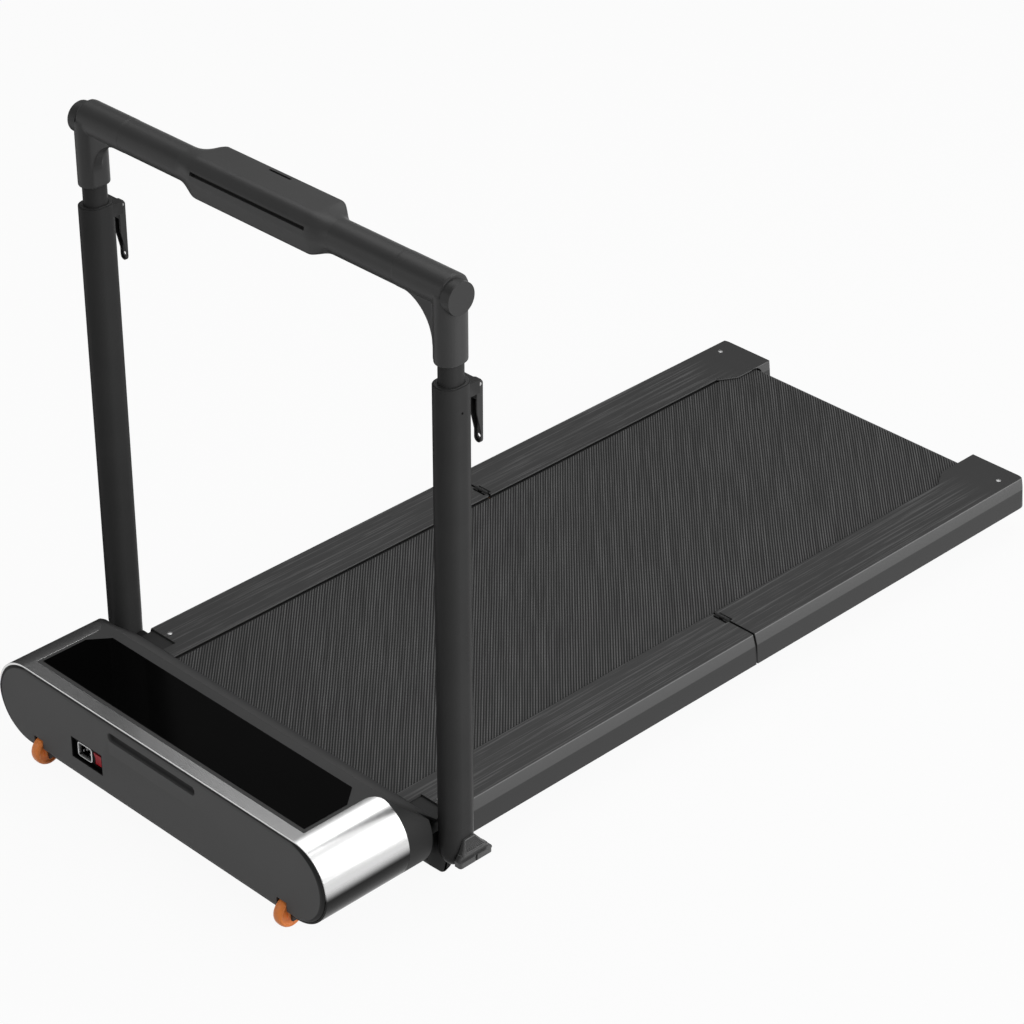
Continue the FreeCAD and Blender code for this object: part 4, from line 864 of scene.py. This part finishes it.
# %% The post feet
post_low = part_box("post_tube_right")[0]
knob_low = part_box("lock_knob_right")[0]
post_x = knob_low.x - 19.3 * mm
post_y = post_low.y + 24.6 * mm
pivot_z = 62 * mm
bore = 8.2 * mm


def post_foot(side, name):
    flat, radius, drop = 5.6 * mm, 18.8 * mm, 25 * mm
    rings = [oval(side * post_x, post_y, z, flat, radius) for z in (post_low.z, 80 * mm, pivot_z)]
    for step in range(1, 11):
        angle = math.pi / 2 * step / 10.6
        share = math.cos(angle)
        # The foot stays broad at first and closes quickly at its tip.
        width = 0.35 + 0.65 * share if share > 0.3 else 1.8 * share
        z = pivot_z - drop * math.sin(angle)
        rings.append(oval(side * post_x, post_y, z, flat * share, radius * width))
    points, faces = joined_rings(rings)
    foot = mesh_piece(name, points, faces, "post_black", "handrail")
    span = sorted((side * (post_x - 30 * mm), side * (post_x + 30 * mm)))
    carve(foot, [rod("x", (span[0], post_y, pivot_z), (span[1], post_y, pivot_z), bore)])
    return foot


feet = [post_foot(1, "post_foot_right"), post_foot(-1, "post_foot_left")]
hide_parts("post_feet")


# %% [markdown]
# ## Brackets
# A steel plate on each side of the frame carries the stud that the post turns on. The plate is an outline
# with round corners, thickened, as if it were cut from sheet, and its edges are softened.

# %% The brackets beside the feet
def post_brackets():
    stud_end, stud_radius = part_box("post_brackets")[1].x, 8 * mm
    plate_inside, plate_outside = stud_end - 68.8 * mm, knob_low.x - 38.6 * mm
    corners = [(-522, 80, 3), (-522, 36, 14), (-497, 9, 12), (-474, 9, 20), (-474, 80, 3)]
    outline = [(point.x * mm, point.y * mm) for point in rounded_outline(corners, steps=6)]
    shapes = []
    for side in (1, -1):
        rings = [[(side * x, y, z) for y, z in outline] for x in (plate_inside, plate_outside)]
        shapes.append(joined_rings(rings))
        stud = [(side * x, post_y, pivot_z) for x in (plate_outside - 4 * mm, stud_end)]
        shapes.append(rod("x", stud[0], stud[1], stud_radius))
    points, faces = combined(*shapes)
    piece = mesh_piece("post_bracket_plates", points, faces, "frame_black", "base")
    soften(piece, 0.8)
    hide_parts("post_brackets")


post_brackets()

# %% [markdown]
# ## Lock knobs
# The handrail is locked by a knob at each foot, shaped for thumb and finger: a ribbed fan above and a wing
# that sticks out below. The knob is lofted through level outlines. Ribs come from moving every other point
# of the outer line inwards.

# %% Levels of a lock knob
def knob_level(z, out, front, rear, rib=0.0):
    """A level outline of the right knob: heights and places in millimetres, with ribs on the outer side."""
    inside = knob_low.x / mm
    turn = min(3.5, (out - inside) * 0.6)
    ring = [(inside, front)]
    for step in range(4):
        angle = math.pi / 2 * step / 3
        ring.append((out - turn + turn * math.sin(angle), front + turn - turn * math.cos(angle)))
    for step in range(1, 20):
        ring.append((out - rib * (step % 2), front + turn + (rear - front - 2 * turn) * step / 20))
    for step in range(4):
        angle = math.pi / 2 * step / 3
        ring.append((out - turn + turn * math.cos(angle), rear - turn + turn * math.sin(angle)))
    ring.append((inside, rear))
    return [(x * mm, y * mm, z * mm) for x, y in ring]


knob_levels = [
    (83, 355, -496, -478), (82, 356, -497.5, -476.5),
    (81.6, 356.2, -497.8, -476.2, 0.9), (70, 359.9, -502.5, -466.5, 0.9), (65.6, 360.1, -504.5, -462, 0.9),
    (65, 360.1, -504.8, -461.8), (64.4, 362, -506, -460.5), (62.8, 362, -506, -460.5),
    (62.2, 359.6, -507, -459.5), (57.4, 359.6, -510, -456), (56.6, 363.6, -512, -454),
    (55.4, 364, -512, -454), (54.8, 363.2, -511.5, -454.5), (48, 363.2, -511.5, -454.5),
    (46.6, 361.8, -510, -456.5), (43, 357, -505, -470), (42, 355.4, -502, -474),
]


# %% [markdown]
# ## From levels to knobs
# The levels are joined into a skin. A bore for the stud and a notch in the wing are cut out, and the left
# knob is the mirror image of the right one.

# %% The lock knobs
def lock_knob(side, name):
    rings = [[(side * x, y, z) for x, y, z in knob_level(*level)] for level in knob_levels]
    points, faces = joined_rings(rings)
    knob = mesh_piece(name, points, faces, "key_dark", name.replace("_grip", ""), sharp=25)
    ends = sorted((side * (knob_low.x - 1 * mm), side * (knob_low.x + 6.9 * mm)))
    carve(knob, [rod("x", (ends[0], post_y, pivot_z), (ends[1], post_y, pivot_z), bore)])
    notch = sorted((side * 361.4 * mm, side * 365 * mm))
    carve(knob, [block((notch[0], -486 * mm, 45 * mm), (notch[1], -481.5 * mm, 57 * mm))])
    soften(knob, 0.5)
    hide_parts(name.replace("_grip", ""))


lock_knob(1, "lock_knob_right_grip")
lock_knob(-1, "lock_knob_left_grip")

# %% [markdown]
# ## Elbows
# Each end of the bar runs into a cast elbow: a sleeve on the bar, a socket for the inner tube and a curved
# web between them, all in one flowing skin. The three solids are laid over each other, remeshed into one
# skin with small cubes and smoothed, which rounds the joins as a casting does.

# %% The elbows
def elbow(side, name):
    socket_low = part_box("elbows")[0].z
    sleeve_radius, web_radius, web_x, web_z = 23.3 * mm, 58, 258, 790
    sleeve = [(side * x * mm, bar_y, bar_z) for x in (252, 338)]
    sleeve = rod("x", sleeve[0], sleeve[1], sleeve_radius, steps=72)
    socket = joined_rings([oval(side * post_x, post_y, z, 5.2 * mm, 17.2 * mm) for z in (socket_low, bar_z)])
    turns = [math.pi / 2 * step / 12 for step in range(13)]
    bend = [(web_x + web_radius * math.cos(turn), web_z + web_radius * math.sin(turn)) for turn in turns]
    bend += [(web_x, 863), (333, 863), (333, socket_low / mm), (web_x + web_radius, socket_low / mm)]
    web = joined_rings([[(side * x * mm, y * mm, z * mm) for x, z in bend] for y in (-505.2, -489)])
    points, faces = combined(sleeve, socket, web)
    piece = mesh_piece(name, points, faces, "grip_dark", "handle")
    skin = piece.modifiers.new("skin", "REMESH")
    skin.mode = "VOXEL"
    skin.voxel_size = 1.3 * mm
    flow = piece.modifiers.new("flow", "SMOOTH")
    flow.iterations = 9
    settle(piece, 60)
    seat = [(x, bar_y - 3 * mm, bar_z - 3 * mm) for x in sorted((side * 338.2 * mm, side * 360 * mm))]
    carve(piece, [rod("x", seat[0], seat[1], 21.7 * mm)])
    return piece


elbows = [elbow(1, "elbow_right"), elbow(-1, "elbow_left")]
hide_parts("elbows")

# %% [markdown]
# ## Clamp levers
# The levers that clamp the telescopic tubes are folded from sheet: a deep channel with thin walls, a round
# tip with an eye, and a fork round the lug of the post. A solid strip is lofted first, and the channel,
# fork, eye and pin hole are cut out of it.

# %% The clamp levers
lever_low, lever_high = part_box("clamp_lever_right")
lever_middle = (lever_low + lever_high) / 2
lever_half = (lever_high.x - lever_low.x) / 2
lever_deep = (lever_high.y - lever_low.y) / 2
pin_z = lever_high.z - lever_deep


def lever_strip(side, name):
    """A solid strip with a round tip below and a round head at the pin."""
    half, deep, chamfer = lever_half, lever_deep, 0.7 * mm
    rings = []
    tip = [(half * math.cos(angle), lever_low.z + half * (1 - math.sin(angle)))
           for angle in [math.pi / 2 * step / 9 for step in range(8, -1, -1)]]
    head = [(deep * math.cos(angle), pin_z + deep * math.sin(angle))
            for angle in [math.pi / 2 * step / 9 for step in range(9)]]
    levels = [(wide, deep, z) for wide, z in tip] + [(half, tall, z) for tall, z in head]
    for wide, tall, z in levels:
        ring = [(wide - chamfer, -tall), (wide, -tall + chamfer), (wide, tall - chamfer),
                (wide - chamfer, tall), (-wide + chamfer, tall), (-wide, tall - chamfer),
                (-wide, -tall + chamfer), (-wide + chamfer, -tall)]
        rings.append([(side * lever_middle.x + x, lever_middle.y + y, z) for x, y in ring])
    points, faces = joined_rings(rings)
    return mesh_piece(name + "_strip", points, faces, "fitting_black", name)


strips = [lever_strip(1, "clamp_lever_right"), lever_strip(-1, "clamp_lever_left")]

# %% [markdown]
# ## Cuts in the levers
# The fork opens the head for the lug of the post, and the channel leaves thin walls. Towards the tip the
# walls are cut back at a slant, as a press tool would trim them. The eye and the pin hole are drilled last.

# %% Cuts in the clamp levers
def lever_cuts(lever, side, name):
    x, y, tip_z = side * lever_middle.x, lever_middle.y, lever_low.z
    lug, wall, out = 4.2 * mm, 1.2 * mm, 9 * mm
    front, channel_floor, trim_floor = y - 8 * mm, y + lever_deep - 2 * mm, y + lever_deep - 4 * mm
    fork_low = pin_z - 15 * mm
    carve(lever, [block((x - lug, front, fork_low), (x + lug, y + 8 * mm, lever_high.z + 2 * mm))])
    turns = [math.pi / 2 * step / 6 for step in range(5, -1, -1)]
    rows = [((lever_half - wall) * math.cos(turn), tip_z + 1.6 * mm + lever_half * (1 - math.sin(turn)))
            for turn in turns]
    rows.append((lug, fork_low - 4 * mm))
    rows = rows + [(-wide, z) for wide, z in reversed(rows)]
    channel = [[(x + wide, depth, z) for wide, z in rows] for depth in (front, channel_floor)]
    carve(lever, [joined_rings(channel)])
    slant = [(y - out, tip_z - 1 * mm), (trim_floor, tip_z - 1 * mm), (trim_floor, tip_z + 17 * mm),
             (y - lever_deep, tip_z + 46 * mm), (y - out, tip_z + 46 * mm)]
    carve(lever, [joined_rings([[(at, a, b) for a, b in slant] for at in (x - out, x + out)])])
    eye_z, eye_radius, pin_radius = tip_z + 9 * mm, 2.8 * mm, 2.6 * mm
    carve(lever, [rod("y", (x, y - out, eye_z), (x, y + out, eye_z), eye_radius)])
    carve(lever, [rod("x", (x - out, y, pin_z), (x + out, y, pin_z), pin_radius)])
    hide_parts(name)
    print("lever cut:", name, len(lever.data.polygons), "faces")


lever_cuts(strips[0], 1, "clamp_lever_right")
lever_cuts(strips[1], -1, "clamp_lever_left")

# %% [markdown]
# ## Transport wheels
# A small moulded wheel has a crowned tread, a sunk web and a hub that keeps it off the fork. One outline
# turned round the axle gives all of them.

# %% The transport wheels
def transport_wheel(name):
    low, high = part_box(name)
    centre = (low + high) / 2
    right = [(4.2, 9.2), (7.6, 9.2), (8.6, 8.6), (9.2, 6.2), (14.8, 5.6), (16, 6.6), (17.4, 7.8), (18.8, 7.9),
             (20.4, 7), (21.5, 5), (22, 2.4)]
    outline = right + [(radius, -along) for radius, along in reversed(right)]
    outline = [(radius * mm, along * mm) for radius, along in outline]
    points, faces = turned(outline, centre, (1, 0, 0), steps=64)
    wheel = mesh_piece(name + "_moulding", points, faces, "wheel_orange", name, sharp=50)
    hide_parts(name)


transport_wheel("wheel_left")
transport_wheel("wheel_right")

# %% [markdown]
# ## Screws
# The rails are held by pan head screws. The head is a dome turned on a lathe, and the cross for the driver
# is cut in.

# %% The rail screws
def rail_screws(node, body):
    low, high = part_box(node)
    y = (low.y + high.y) / 2
    x = high.x - 4 * mm
    foot = high.z - 0.9 * mm
    dome = [(0.05, 0.9), (1.6, 0.86), (2.8, 0.68), (3.6, 0.36), (4, 0.02), (4, 0), (2, 0), (2, -6),
            (0.05, -6)]
    dome = [(radius * mm, along * mm) for radius, along in dome]
    heads = [turned(dome, (end * x, y, foot), (0, 0, 1), steps=32) for end in (1, -1)]
    points, faces = combined(*heads)
    screws = mesh_piece(node + "_cross", points, faces, "plain_steel", body, sharp=40)
    for end in (1, -1):
        for wide, long in ((2.1 * mm, 0.5 * mm), (0.5 * mm, 2.1 * mm)):
            carve(screws, [block((end * x - wide, y - long, foot + 0.25 * mm),
                                 (end * x + wide, y + long, foot + 2 * mm))])
    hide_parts(node)


rail_screws("front_screws", "base")
rail_screws("rear_screws", "rear_deck")

# %% [markdown]
# ## Inlet details
# A mains socket has a raised rim and three flat pins, and a collar frames it together with the switch. Rim
# and collar are rounded frames, swept between an inner and an outer outline, and each pin is a blade with a
# tapered tip.

# %% Rim and pins of the mains socket
inlet_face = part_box("power_inlet")[0].y


def frame_rows(sides, rows):
    """Rounded frames, one for each row: how far it is drawn in, its corner radius and its depth."""
    left, right, bottom, top = sides
    found = []
    for inset, radius, y in rows:
        corners = [(left + inset, bottom + inset, radius), (right - inset, bottom + inset, radius),
                   (right - inset, top - inset, radius), (left + inset, top - inset, radius)]
        found.append([(point.x * mm, y, point.y * mm) for point in rounded_outline(corners, steps=5)])
    return found


def socket_rim():
    lip, top = inlet_face - 1.2 * mm, inlet_face - 1.8 * mm
    rows = [(0, 4, inlet_face), (0, 4, lip), (0.6, 3.6, top), (1.6, 3, top), (2, 2.8, lip),
            (2, 2.8, inlet_face + 4 * mm)]
    sides = (-164.6, -134.4, 60.4, 83.6)
    points, faces = joined_rings(frame_rows(sides, rows), ends=False)
    mesh_piece("socket_rim", points, faces, "plain_steel", "base")


def inlet_collar():
    rows = [(0, 1.2, inlet_face), (0, 1.2, plate_front), (0.6, 1, plate_front - 0.2 * mm),
            (1.6, 0.8, plate_front + 0.4 * mm), (1.6, 0.8, inlet_face)]
    sides = (-173.2, -108.8, 55.8, 88.7)
    points, faces = joined_rings(frame_rows(sides, rows), closed=True)
    mesh_piece("inlet_collar", points, faces, "inlet_black", "base")


def socket_pins():
    blades = []
    for x, z in ((-156.5, 69.5), (-149.5, 74.5), (-142.5, 69.5)):
        rings = []
        for wide, tall, y in ((1, 2, 18), (1, 2, 4), (0.4, 1.4, 2)):
            ring = [(-wide, -tall), (wide, -tall), (wide, tall), (-wide, tall)]
            rings.append([((x + a) * mm, inlet_face + y * mm, (z + b) * mm) for a, b in ring])
        blades.append(joined_rings(rings))
    points, faces = combined(*blades)
    mesh_piece("socket_pins", points, faces, "plain_steel", "base")


socket_rim()
inlet_collar()
socket_pins()

# %% [markdown]
# ## Grip lining
# Fingers lift the pad by a scoop in the front plate. Its inside is not a box: it is a round groove under
# the ledge with round ends. A grid of points follows the depth of that groove.

# %% The grip lining
def grip_lining():
    left, right, bottom, ledge = -92 * mm, 84 * mm, 100 * mm, 136 * mm
    columns, rows = 176, 36
    middle, half, deep, proud = 129 * mm, 6.6 * mm, 7.4 * mm, 0.05 * mm
    points = []
    for row in range(rows + 1):
        z = bottom + (ledge - bottom) * row / rows
        for column in range(columns + 1):
            x = left + (right - left) * column / columns
            past_end = max(0.0, left + half - x, x - right + half)
            share = min(1.0, math.hypot(past_end, z - middle) / half)
            points.append((x, plate_front + deep * math.sqrt(1 - share * share) + proud, z))
    faces = []
    for row in range(rows):
        for column in range(columns):
            here = row * (columns + 1) + column
            faces.append((here, here + 1, here + columns + 2, here + columns + 1))
    # Sunk behind the face of the plate, the lining takes the painted shade of the dark_cover finish.
    mesh_piece("grip_lining", points, faces, "dark_cover", "base", sharp=60)


grip_lining()
